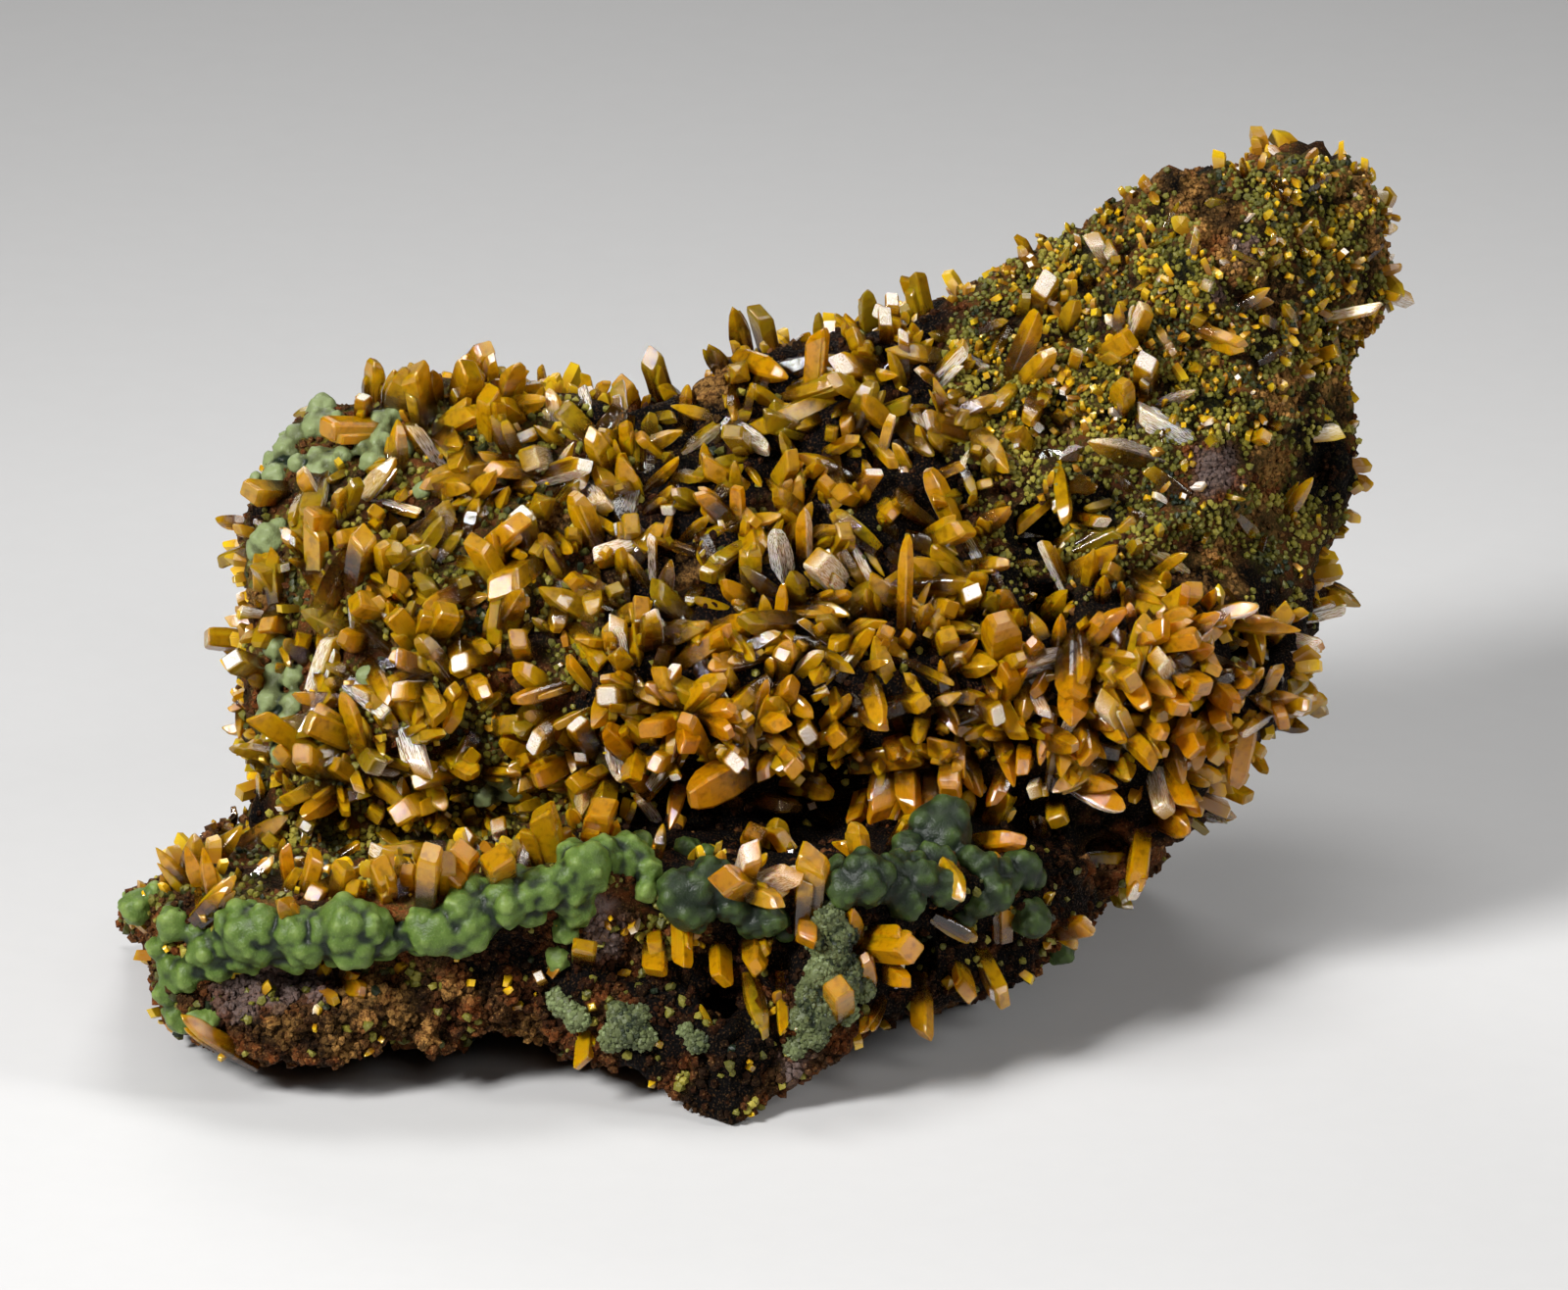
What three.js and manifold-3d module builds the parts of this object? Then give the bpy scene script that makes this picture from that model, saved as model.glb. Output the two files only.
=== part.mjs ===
// Wulfenite on mimetite and limonite, a crystal specimen that stands on its broken base.
// Units are millimetres, +Z is up. The body and everything on it are built upright on the
// specimen's face, then the whole face leans back by LEAN and the base is broken off flat.
import * as THREE from 'three';
import { mergeVertices } from 'three/addons/utils/BufferGeometryUtils.js';
import Module from 'manifold-3d';

const wasm = await Module();
wasm.setup();

// Driving dimensions.
const LEAN = THREE.MathUtils.degToRad(20);
const JOINT_GAP = 0.35;
const MANTLE = 1.1;
const ROUGHNESS = 0.9;
const BACK_ROUGHNESS = 2.2;
const CRYSTAL_SLENDERNESS = 2.6;
const FOOT_DEPTH = 3;
const DRUSE_REACH = 44;
// Distances under which corners of a cut solid become one, in the order they are tried.
const WELDS = [0.02, 0.012, 0.03, 0.007, 0.045];
const BASE_CUT_SIDE = 400;

// The face grid: places on the face are given in tenths of a millimetre, x to the right and
// y down, and depth is in millimetres away from the viewer of the face.
const GRID_STEP = 0.1;
const GRID_ZERO = { x: 775, y: 1160 };
const GRID_FRONT = -40;

// The limonite body: its outline on the face, clockwise from the left, star-shaped about HUB.
const HUB = { x: 775, y: 680 };
const BODY_SEED = 4711;
// Rings of the body's skin, as fractions of the way from the hub to the outline.
const FRONT_RINGS = [0.26, 0.52, 0.78, 1];
const BACK_RINGS = [1.01, 0.94, 0.5];
const BODY_OUTLINE = [
  [258, 640], [250, 548], [268, 495], [300, 440], [330, 418], [385, 418], [440, 390],
  [500, 394], [560, 400], [640, 418], [700, 400], [760, 366], [830, 348], [910, 338],
  [985, 300], [1050, 260], [1120, 222], [1185, 182], [1215, 168], [1262, 184], [1330, 164],
  [1390, 172], [1408, 225], [1418, 300], [1385, 372], [1382, 450], [1374, 530], [1345, 570],
  [1342, 625], [1315, 690], [1305, 735], [1245, 770], [1215, 830], [1165, 890], [1110, 930],
  [1000, 985], [870, 1020], [740, 1090], [600, 1050], [400, 1045], [240, 1020], [195, 930],
  [245, 850], [272, 785], [252, 720],
];

// How strongly the nearest of the depths below rules over the others.
const BLEND_SHARPNESS = 3.2;
// Depth of the body's front face at places on the grid: x, y, depth.
const FRONT_DEPTHS = [
  [330, 425, 33], [450, 400, 33], [560, 405, 33], [700, 405, 31], [820, 360, 33],
  [960, 315, 36], [1050, 270, 38], [1150, 210, 40], [1220, 178, 35], [1320, 178, 39],
  [1400, 195, 46], [1415, 300, 50], [1390, 420, 48], [280, 500, 29], [400, 495, 23],
  [520, 480, 23], [650, 480, 24], [780, 460, 25], [900, 440, 27], [1000, 400, 29],
  [1110, 350, 33], [1200, 300, 28], [1255, 240, 27], [1310, 300, 35], [1305, 420, 31],
  [1375, 500, 46], [270, 600, 27], [370, 590, 17], [500, 590, 16], [620, 590, 18],
  [740, 580, 18], [860, 570, 20], [960, 540, 23], [1060, 540, 29], [1150, 500, 25],
  [1230, 480, 27], [1290, 540, 33], [1345, 610, 43], [262, 700, 24], [350, 690, 14],
  [450, 700, 13], [560, 700, 14], [680, 690, 10], [780, 700, 12], [880, 700, 14],
  [980, 680, 16], [1070, 680, 18], [1130, 690, 13], [1200, 670, 17], [1290, 690, 29],
  [280, 790, 22], [360, 770, 15], [470, 770, 16], [560, 760, 17], [660, 760, 11],
  [760, 770, 13], [860, 780, 15], [950, 780, 17], [1060, 780, 21], [1150, 770, 19],
  [1240, 760, 27], [240, 860, 24], [330, 840, 27], [430, 840, 28], [540, 830, 29],
  [640, 835, 31], [740, 840, 32], [840, 845, 32], [940, 845, 31], [1050, 845, 30],
  [1150, 835, 27], [1195, 860, 32], [300, 960, 34], [500, 960, 34], [800, 960, 34],
  [1050, 930, 32], [1130, 920, 30],
];

// Depth of the body's broken back: x, y, depth.
const BACK_DEPTHS = [
  [775, 680, 73], [560, 480, 58], [700, 560, 66], [850, 430, 59], [1000, 400, 66],
  [1100, 300, 62], [1300, 260, 70], [1330, 480, 64], [1180, 520, 72], [1230, 700, 63],
  [340, 560, 54], [460, 640, 65], [330, 800, 58], [300, 980, 67], [560, 760, 72],
  [620, 900, 68], [750, 980, 77], [1000, 900, 74], [900, 760, 78], [1000, 600, 69],
];

// The ledge's upper side, from its root in the body to its rim: depth, y under the rim's top.
const LEDGE_UPPER_SIDE = [[50, -20], [36, -72], [20, -42]];
const LEDGE_LIP = { depth: 3, rise: 6, drop: 20 };
const LEDGE_WAIST_DROP = 80;
const LEDGE_TOE_DEPTH = 3;
const LEDGE_ROOT_DEPTH = 56;
const LEDGE_END_REACH = 1;
const LEDGE_SEED = 977;
// The place in a section that the ledge grows away from. Its corners grow by more than the
// amount asked for, so that its slanted sides grow by the full amount.
const LEDGE_MIDDLE = { depth: 26, rise: 20 };
const LEDGE_GROWTH = 1.5;
// Sections of the ledge in front of the body, from left to right: x, top of the rim,
// bottom, depth of the rim, depth of the hollow under it, depth of the front below.
const LEDGE_SECTIONS = [
  { x: 122, top: 912, bottom: 965, rim: 10, hollow: 14, front: 14 },
  { x: 162, top: 898, bottom: 1040, rim: 6, hollow: 10, front: 10 },
  { x: 210, top: 905, bottom: 1064, rim: 3, hollow: 8, front: 7 },
  { x: 270, top: 915, bottom: 1080, rim: 0, hollow: 8, front: 4 },
  { x: 340, top: 915, bottom: 1084, rim: -1, hollow: 8, front: 3 },
  { x: 400, top: 915, bottom: 1056, rim: -2, hollow: 7, front: 4 },
  { x: 440, top: 915, bottom: 1076, rim: -2, hollow: 5, front: 5 },
  { x: 500, top: 900, bottom: 1046, rim: -2, hollow: 4, front: 6 },
  { x: 560, top: 888, bottom: 1058, rim: -1, hollow: 4, front: 5 },
  { x: 605, top: 868, bottom: 1080, rim: 0, hollow: 2, front: 4 },
  { x: 660, top: 880, bottom: 1088, rim: 2, hollow: 6, front: 3 },
  { x: 710, top: 888, bottom: 1140, rim: 1, hollow: 6, front: 2 },
  { x: 745, top: 890, bottom: 1160, rim: 0, hollow: 7, front: 0 },
  { x: 790, top: 895, bottom: 1112, rim: 0, hollow: 6, front: 3 },
  { x: 850, top: 890, bottom: 1080, rim: 0, hollow: 2, front: 2 },
  { x: 900, top: 880, bottom: 1036, rim: 2, hollow: 6, front: 6 },
  { x: 950, top: 875, bottom: 1028, rim: 4, hollow: 10, front: 10 },
  { x: 1010, top: 885, bottom: 1012, rim: 8, hollow: 15, front: 14 },
  { x: 1068, top: 915, bottom: 975, rim: 15, hollow: 20, front: 20 },
  { x: 1108, top: 925, bottom: 948, rim: 23, hollow: 26, front: 26 },
];

// Lumps that stand out of the limonite and hollows in it: x, y, half width, half height,
// half depth.
const LIMONITE_LUMPS = [
  [1041, 980, 27, 27, 30], [1200, 185, 22, 18, 30], [1240, 172, 20, 14, 28],
  [737, 400, 36, 24, 30], [262, 607, 17, 18, 26], [1365, 480, 20, 48, 40],
  [434, 1056, 13, 22, 24],
];
const LIMONITE_HOLLOWS = [
  [1058, 541, 34, 30, 100], [1070, 620, 28, 32, 100], [933, 975, 26, 36, 90],
  [742, 1022, 34, 26, 70], [1278, 662, 34, 26, 90], [412, 536, 24, 24, 60],
  [1130, 870, 34, 22, 70],
];

// A growth whose foot misses the limonite is seated on it a step nearer to the hub.
const SEAT_STEPS = 20;
const SEAT_STEP_SHARE = 0.02;
const LOOSE_DEPTH = 34;

const SPEAR = 'spear';
const BLOCK = 'block';
const BARREL = 'barrel';
// Half widths of a crystal along its length, and whether it ends in a point: fraction of the
// length, fraction of the half width.
const CRYSTAL_FORMS = {
  spear: { rings: [[0, 0.8], [0.62, 1]], pointed: true },
  block: { rings: [[0, 0.9], [1, 1]], pointed: false },
  barrel: { rings: [[0, 0.72], [0.58, 1], [1, 0.4]], pointed: false },
};
// Reach of a crystal's corners from its axis, as a share of its width.
const CORNER_REACH = 0.66;
// A crystal is at least this much longer than it looks, because it leans out of the face.
const LEAST_STRETCH = 1.08;
// Degrees that a crystal is turned about its axis for each step of its foot on the grid.
const SPIN_STEPS = { x: 7, y: 3 };

// Crystals of each druse: foot x, foot y, tip x, tip y, width, form.
const LEFT_FACE_CRYSTALS = [
  [406, 414, 414, 375, 30, SPEAR], [432, 427, 422, 375, 28, BLOCK], [443, 406, 440, 377, 24, SPEAR],
  [470, 411, 480, 375, 34, BLOCK], [502, 403, 511, 387, 26, BLOCK],
  [495, 419, 554, 409, 20, BARREL], [454, 431, 483, 419, 22, BLOCK],
  [540, 487, 502, 476, 20, BLOCK],
  [543, 576, 511, 602, 24, BLOCK], [505, 662, 510, 602, 20, BARREL],
  [438, 650, 460, 621, 24, BLOCK],
  [389, 618, 363, 618, 24, BLOCK], [400, 627, 422, 661, 26, BLOCK], [287, 503, 251, 503, 24, BLOCK],
  [321, 519, 322, 582, 20, BLOCK], [322, 582, 338, 618, 24, SPEAR],
  [622, 610, 581, 591, 20, BARREL], [608, 554, 586, 506, 20, BARREL],
  [621, 478, 602, 443, 22, BARREL], [577, 782, 543, 792, 24, BLOCK],
  [575, 737, 546, 756, 24, BLOCK], [390, 742, 385, 705, 22, SPEAR], [368, 757, 361, 709, 20, BLOCK],
  [342, 808, 307, 833, 24, BARREL], [446, 817, 409, 823, 26, BLOCK],
  [457, 769, 486, 790, 24, BARREL], [575, 700, 525, 715, 22, BARREL],
  [605, 765, 588, 738, 24, BLOCK], [630, 705, 605, 742, 24, SPEAR],
];
const MAIN_FACE_CRYSTALS = [
  [764, 379, 804, 384, 28, SPEAR], [908, 372, 855, 369, 20, BLOCK], [834, 419, 770, 438, 22, BLOCK],
  [739, 530, 713, 503, 22, BARREL],
  [646, 506, 632, 466, 24, SPEAR], [739, 637, 802, 664, 26, SPEAR], [951, 556, 987, 538, 22, BLOCK],
  [984, 591, 970, 627, 20, SPEAR], [700, 705, 672, 690, 24, SPEAR],
  [712, 715, 735, 690, 24, BARREL], [690, 730, 665, 745, 22, BLOCK],
  [720, 740, 748, 752, 22, BARREL], [720, 785, 703, 813, 30, SPEAR],
  [870, 720, 900, 742, 20, BARREL], [905, 760, 938, 771, 22, BLOCK],
  [880, 785, 870, 815, 22, BARREL], [912, 785, 916, 822, 24, BARREL],
  [840, 790, 815, 805, 20, BARREL], [825, 785, 822, 738, 28, SPEAR],
];
const RIGHT_FACE_CRYSTALS = [
  [1172, 467, 1111, 449, 18, SPEAR],
  [1100, 580, 1140, 562, 20, BARREL], [1022, 670, 1022, 630, 34, BARREL],
  [1115, 652, 1143, 621, 18, BARREL], [1268, 637, 1326, 644, 20, SPEAR],
  [1069, 674, 1019, 688, 18, BARREL], [1098, 680, 1095, 714, 28, BARREL],
  [1172, 691, 1197, 710, 20, SPEAR], [1072, 749, 1118, 769, 18, BARREL],
  [1120, 700, 1145, 722, 22, SPEAR], [1150, 690, 1170, 722, 24, BARREL],
  [1180, 660, 1205, 640, 20, SPEAR],
  [1090, 750, 1082, 790, 20, SPEAR], [1195, 785, 1212, 822, 22, BLOCK],
  [1180, 830, 1212, 846, 26, BARREL], [1150, 750, 1175, 775, 20, BLOCK],
  [1240, 700, 1262, 722, 20, BLOCK],
];
const HORN_CRYSTALS = [
  [974, 426, 1011, 406, 20, BARREL], [1000, 449, 1030, 479, 22, SPEAR],
  [1038, 374, 1058, 319, 20, BARREL], [1072, 312, 1066, 286, 26, BLOCK],
  [1050, 391, 1069, 358, 20, BARREL], [1165, 344, 1165, 317, 18, BLOCK],
  [1156, 342, 1130, 358, 22, BLOCK],
  [1170, 395, 1173, 368, 22, BLOCK], [1198, 440, 1162, 420, 20, BARREL],
  [1310, 523, 1342, 486, 16, SPEAR], [1146, 414, 1146, 388, 22, BLOCK],
];

// Single crystals that stand on the ledge: foot x, foot y, tip x, tip y, width, form.
const LEDGE_CRYSTALS = [
  [192, 902, 162, 865, 17, SPEAR], [206, 884, 202, 850, 18, SPEAR],
  [228, 886, 250, 842, 18, SPEAR], [262, 872, 296, 835, 20, SPEAR],
  [297, 900, 292, 862, 16, BLOCK], [320, 908, 326, 868, 18, BLOCK],
  [350, 912, 356, 878, 22, BLOCK], [394, 914, 394, 882, 28, BLOCK],
  [440, 912, 441, 868, 32, BLOCK], [473, 898, 475, 864, 26, BLOCK],
  [514, 894, 510, 868, 28, SPEAR], [563, 880, 555, 824, 30, SPEAR],
  [607, 862, 615, 822, 32, BLOCK], [757, 896, 767, 867, 22, BARREL],
  [829, 930, 831, 872, 28, SPEAR], [957, 888, 980, 910, 24, BARREL],
  [1006, 862, 1042, 856, 20, BARREL], [1019, 938, 1017, 888, 22, BLOCK],
];

// Botryoidal mimetite: how far a bead's middle stands out and its half sizes, as shares of
// its radius, then x, y, radius of each bead.
const BEAD_STAND = 0.25;
const BEAD_SPREAD = 1.2;
const BEAD_THICKNESS = 1.1;
const RIM_LEFT_BEADS = [
  [150, 926, 22], [192, 960, 26], [212, 1032, 20], [246, 945, 26], [298, 952, 24],
  [352, 946, 28], [410, 950, 22], [452, 950, 26], [495, 928, 22], [548, 922, 26],
  [592, 890, 28], [640, 880, 26],
];
const RIM_RIGHT_BEADS = [
  [702, 915, 27], [745, 912, 24], [800, 928, 22], [880, 900, 27], [945, 862, 32],
  [960, 905, 22], [1035, 892, 24], [1055, 932, 22],
];
const RIDGE_BEADS = [
  [846, 940, 26], [850, 972, 30], [838, 1005, 32], [826, 1036, 30], [812, 1062, 24],
  [870, 1000, 22], [866, 1034, 20],
];
const UPPER_LEFT_BEADS = [
  [326, 420, 18], [336, 440, 16], [300, 450, 16], [278, 474, 15], [308, 476, 16],
  [336, 476, 15], [391, 432, 17], [384, 462, 17],
];
const KNOB_BEADS = [
  [641, 1045, 24], [625, 1058, 14], [658, 1056, 13],
];

// Beds of mimetite that the beads of each rim sit on: x, y along the middle of the bed.
const RIM_BED_SIDES = 6;
const RIM_BED_HALF_HEIGHT = 26;
const RIM_BED_HALF_DEPTH = 18;
const RIM_LEFT_BED = [
  [150, 928], [190, 952], [270, 955], [350, 950], [470, 944], [560, 914], [600, 892], [650, 884],
];
const RIM_RIGHT_BED = [
  [700, 895], [790, 930], [850, 908], [935, 890], [985, 905], [1040, 915], [1080, 950],
];

// Regions of the face that each crust covers, as corners on the grid. A corner grows by more
// than the amount asked for, so that the sides grow by the full amount.
const REGION_GROWTH = 2;
const CRUST_REGIONS = {
  upperLeft: [[250, 405], [372, 405], [410, 425], [410, 470], [352, 496], [250, 512]],
  leftFace: [
    [384, 380], [632, 380], [632, 800], [480, 836], [290, 836],
    [225, 790], [225, 524], [358, 508], [424, 480], [424, 420], [384, 400],
  ],
  mainFace: [[644, 380], [760, 340], [960, 300], [960, 640], [1000, 800], [644, 812]],
  horn: [[974, 290], [1180, 160], [1430, 160], [1430, 412], [1290, 432], [974, 492]],
  rightFace: [
    [974, 506], [1290, 446], [1430, 426], [1430, 600], [1330, 760], [1240, 860],
    [1120, 850], [1014, 800], [974, 640],
  ],
};

const LIMONITE_LOOK = { color: 0x6b4423, roughness: 0.95 };
const MIMETITE_LOOK = { color: 0x64834b, roughness: 0.6 };
const WULFENITE_LOOK = { color: 0xdf930f, roughness: 0.3 };

// Park-Miller numbers from 0 to 1, the same on every run.
function seededNumbers(seed) {
  let state = seed;
  return () => {
    state = (state * 16807) % 2147483647;
    return state / 2147483647;
  };
}

function onFace(x, y, depth) {
  const right = (x - GRID_ZERO.x) * GRID_STEP;
  const up = (GRID_ZERO.y - y) * GRID_STEP;
  return new THREE.Vector3(right, depth, up);
}

function solidFrom(geometry, weld = 1e-4) {
  const bare = geometry.clone();
  bare.deleteAttribute('normal');
  bare.deleteAttribute('uv');
  const merged = mergeVertices(bare, weld);
  const mesh = new wasm.Mesh({
    numProp: 3,
    vertProperties: new Float32Array(merged.attributes.position.array),
    triVerts: new Uint32Array(merged.index.array),
  });
  return new wasm.Manifold(mesh);
}

function geometryFrom(solid) {
  const { vertProperties, triVerts } = solid.getMesh();
  const geometry = new THREE.BufferGeometry();
  geometry.setAttribute('position', new THREE.BufferAttribute(vertProperties, 3));
  geometry.setIndex(new THREE.BufferAttribute(triVerts, 1));
  geometry.computeVertexNormals();
  return geometry;
}

function join(solids) {
  return solids.reduce((sum, solid) => sum.add(solid));
}

function largest(solid) {
  const pieces = solid.decompose();
  return pieces.reduce((best, piece) => (piece.volume() > best.volume() ? piece : best));
}

// Corners closer than the weld become one, on a grid and again on the grid half a step over.
function welded(solid, weld) {
  const once = geometryFrom(largest(solidFrom(geometryFrom(largest(solid)), weld)));
  once.translate(weld / 2, weld / 2, weld / 2);
  const twice = largest(solidFrom(once, weld));
  return twice.translate([-weld / 2, -weld / 2, -weld / 2]);
}

// Whether more than two faces meet along an edge, where two parts of a solid only touch.
function isPinched(solid) {
  const bare = geometryFrom(solid);
  bare.deleteAttribute('normal');
  const faces = mergeVertices(bare, 1e-3).index.array;
  const meetings = new Map();
  for (let corner = 0; corner < faces.length; corner += 1) {
    const next = corner % 3 === 2 ? corner - 2 : corner + 1;
    const ends = [faces[corner], faces[next]].sort((a, b) => a - b).join('-');
    meetings.set(ends, (meetings.get(ends) ?? 0) + 1);
  }
  return [...meetings.values()].some((count) => count !== 2);
}

// The largest connected piece, without the crumbs and hair-thin necks that a cut leaves.
function mainPiece(solid) {
  const clean = WELDS.map((weld) => welded(solid, weld)).find((piece) => !isPinched(piece));
  if (!clean) {
    throw new Error('a solid touches itself along an edge at every weld');
  }
  return clean;
}

// A closed body from rings of points, with a pole at each end. Rings run anticlockwise
// as seen from the side of the first pole.
function ringedBody(firstPole, rings, lastPole) {
  const sides = rings[0].length;
  const points = [firstPole, ...rings.flat(), lastPole];
  const last = points.length - 1;
  const faces = [];
  const at = (ring, side) => 1 + ring * sides + (side % sides);
  for (let side = 0; side < sides; side += 1) {
    faces.push(0, at(0, side), at(0, side + 1));
    for (let ring = 0; ring < rings.length - 1; ring += 1) {
      faces.push(at(ring, side), at(ring + 1, side), at(ring + 1, side + 1));
      faces.push(at(ring, side), at(ring + 1, side + 1), at(ring, side + 1));
    }
    faces.push(last, at(rings.length - 1, side + 1), at(rings.length - 1, side));
  }
  const geometry = new THREE.BufferGeometry().setFromPoints(points);
  geometry.setIndex(faces);
  return geometry;
}

// Smooth value at a place from hand-set places around it, weighted by inverse distance.
function blendedDepth(places, x, y) {
  let total = 0;
  let weights = 0;
  for (const [placeX, placeY, depth] of places) {
    const distance = Math.max(Math.hypot(x - placeX, y - placeY), 1);
    const weight = distance ** -BLEND_SHARPNESS;
    total += depth * weight;
    weights += weight;
  }
  return total / weights;
}

// The limonite body without its ledge, grown outwards by some millimetres: spokes run from
// the hub to each corner of the outline, over the front, round the side and back.
function bodyShell(grow) {
  const jitter = seededNumbers(BODY_SEED);
  const frontDepth = (x, y) => blendedDepth(FRONT_DEPTHS, x, y) - grow;
  const backDepth = (x, y) => blendedDepth(BACK_DEPTHS, x, y) + grow;
  const spokes = BODY_OUTLINE.map(([x, y]) => new THREE.Vector2(x - HUB.x, y - HUB.y)).reverse();
  const place = (spoke, fraction, front) => {
    const [x, y] = [HUB.x + spoke.x * fraction, HUB.y + spoke.y * fraction];
    const wobble = (jitter() - 0.5) * 2 * fraction ** 2 * (front ? ROUGHNESS : BACK_ROUGHNESS);
    const depth = front ? frontDepth(x, y) : backDepth(x, y);
    const sideways = fraction >= 1 || !front ? grow / GRID_STEP / spoke.length() : 0;
    return onFace(x + spoke.x * sideways, y + spoke.y * sideways, depth + wobble);
  };
  const ring = (fraction, front) => spokes.map((spoke) => place(spoke, fraction, front));
  const fronts = FRONT_RINGS.map((fraction) => ring(fraction, true));
  const backs = BACK_RINGS.map((fraction) => ring(fraction, false));
  // The first back ring makes the rounded side wall, halfway between the two faces.
  backs[0].forEach((point, side) => {
    point.y = (fronts.at(-1)[side].y + backs[1][side].y) / 2;
  });
  const frontPole = onFace(HUB.x, HUB.y, frontDepth(HUB.x, HUB.y));
  const backPole = onFace(HUB.x, HUB.y, backDepth(HUB.x, HUB.y));
  return solidFrom(ringedBody(frontPole, [...fronts, ...backs], backPole));
}

// Corners of one section of the ledge, from its root over the rim to its underside.
function ledgeOutline({ top, bottom, rim, hollow, front }) {
  const waist = Math.min(top + LEDGE_WAIST_DROP, (top + bottom) / 2);
  return [
    ...LEDGE_UPPER_SIDE.map(([depth, drop]) => [depth, top + drop]),
    [rim + LEDGE_LIP.depth, top - LEDGE_LIP.rise],
    [rim, top + LEDGE_LIP.drop],
    [hollow, waist],
    [front, (waist + bottom) / 2],
    [front + LEDGE_TOE_DEPTH, bottom],
    [LEDGE_ROOT_DEPTH, bottom],
  ];
}

// The ledge that juts out of the body's foot, lofted from its sections.
function ledgeBar(grow) {
  const jitter = seededNumbers(LEDGE_SEED);
  const rings = LEDGE_SECTIONS.map((section) => {
    const middleY = (section.top + section.bottom) / 2 - LEDGE_MIDDLE.rise;
    return ledgeOutline(section).map(([depth, y]) => {
      const wobble = (jitter() - 0.5) * 2 * ROUGHNESS;
      const away = new THREE.Vector2(depth - LEDGE_MIDDLE.depth, (middleY - y) * GRID_STEP).normalize();
      const point = onFace(section.x, y, depth);
      point.y += away.x * grow * LEDGE_GROWTH + wobble;
      point.z += away.y * grow * LEDGE_GROWTH;
      point.x += wobble;
      return point;
    });
  });
  const middleOf = (ring) => {
    return ring.reduce((sum, point) => sum.add(point), new THREE.Vector3()).divideScalar(ring.length);
  };
  const endReach = new THREE.Vector3(LEDGE_END_REACH + grow, 0, 0);
  const left = middleOf(rings[0]).sub(endReach);
  const right = middleOf(rings.at(-1)).add(endReach);
  return solidFrom(ringedBody(right, rings.reverse(), left));
}

// A lump or hollow: a faceted ball drawn out to its half sizes.
function faceted(centre, halfWidth, halfHeight, halfDepth) {
  const ball = new THREE.IcosahedronGeometry(1, 0);
  ball.rotateZ(centre.x);
  ball.scale(halfWidth, halfDepth, halfHeight);
  ball.translate(centre.x, centre.y, centre.z);
  return solidFrom(ball);
}

// Everything above the plane on which the specimen stands, upright in the face's frame.
function aboveBase() {
  const box = new THREE.BoxGeometry(BASE_CUT_SIDE, BASE_CUT_SIDE, BASE_CUT_SIDE);
  box.translate(0, 0, BASE_CUT_SIDE / 2);
  box.rotateX(LEAN);
  return solidFrom(box);
}

// Depth of the first surface met behind a place on the grid, or null beside the solid.
function depthFinder(solid) {
  const mesh = new THREE.Mesh(geometryFrom(solid), new THREE.MeshBasicMaterial({ side: THREE.DoubleSide }));
  mesh.updateMatrixWorld();
  const intoFace = new THREE.Vector3(0, 1, 0);
  return (x, y) => {
    const ray = new THREE.Raycaster(onFace(x, y, GRID_FRONT), intoFace);
    const hit = ray.intersectObject(mesh)[0];
    return hit ? hit.point.y : null;
  };
}

// The limonite, grown outwards by some millimetres for its neighbours to be cut by. Its
// lumps and hollows are seated on the surface of the body and the ledge as they stand.
function limonite(grow, surface) {
  const ball = ([x, y, ...halfSizes], growth) => {
    const [halfWidth, halfHeight, halfDepth] = halfSizes.map((size) => size * GRID_STEP + growth);
    const { depth } = seatedPlace(surface, x, y);
    return faceted(onFace(x, y, depth + 1), halfWidth, halfHeight, halfDepth);
  };
  const lumps = LIMONITE_LUMPS.map((row) => ball(row, grow));
  const hollows = LIMONITE_HOLLOWS.map((row) => ball(row, -grow));
  return join([bodyShell(grow), ledgeBar(grow), ...lumps]).subtract(join(hollows));
}

// The seat of a growth on the limonite behind a place, or behind a place nearer the hub.
function seatedPlace(surface, x, y) {
  let [seatX, seatY] = [x, y];
  for (let step = 0; step < SEAT_STEPS; step += 1) {
    const depth = surface(seatX, seatY);
    if (depth !== null) {
      return { depth };
    }
    seatX += (HUB.x - seatX) * SEAT_STEP_SHARE;
    seatY += (HUB.y - seatY) * SEAT_STEP_SHARE;
  }
  return { depth: LOOSE_DEPTH };
}

// A square-sectioned crystal from its foot in the rock to its tip.
function crystal(surface, row, grow) {
  const [footX, footY, tipX, tipY, width, form] = row;
  const seat = seatedPlace(surface, footX, footY);
  const foot = onFace(footX, footY, seat.depth);
  const flatRun = Math.hypot(tipX - footX, tipY - footY) * GRID_STEP;
  const wide = width * GRID_STEP;
  const fullRun = Math.max(flatRun * LEAST_STRETCH, wide * CRYSTAL_SLENDERNESS);
  const forward = Math.sqrt(fullRun ** 2 - flatRun ** 2);
  const tip = onFace(tipX, tipY, seat.depth - forward);
  const axis = tip.clone().sub(foot).normalize();
  const start = foot.clone().addScaledVector(axis, -FOOT_DEPTH);
  const length = start.distanceTo(tip) + grow;
  const { rings, pointed } = CRYSTAL_FORMS[form];
  const turn = new THREE.Quaternion().setFromUnitVectors(new THREE.Vector3(0, -1, 0), axis);
  const spin = THREE.MathUtils.degToRad((footX * SPIN_STEPS.x + footY * SPIN_STEPS.y) % 90);
  const corner = (share, size, side) => {
    const angle = spin + (side * Math.PI) / 2;
    const reach = size * wide * CORNER_REACH + grow;
    const point = new THREE.Vector3(Math.cos(angle) * reach, -share * length, Math.sin(angle) * reach);
    return point.applyQuaternion(turn).add(start);
  };
  const loops = rings.map(([share, size]) => [3, 2, 1, 0].map((side) => corner(share, size, side)));
  const end = start.clone().addScaledVector(axis, pointed ? length : length * rings.at(-1)[0]);
  return solidFrom(ringedBody(start, loops, end));
}

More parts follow.
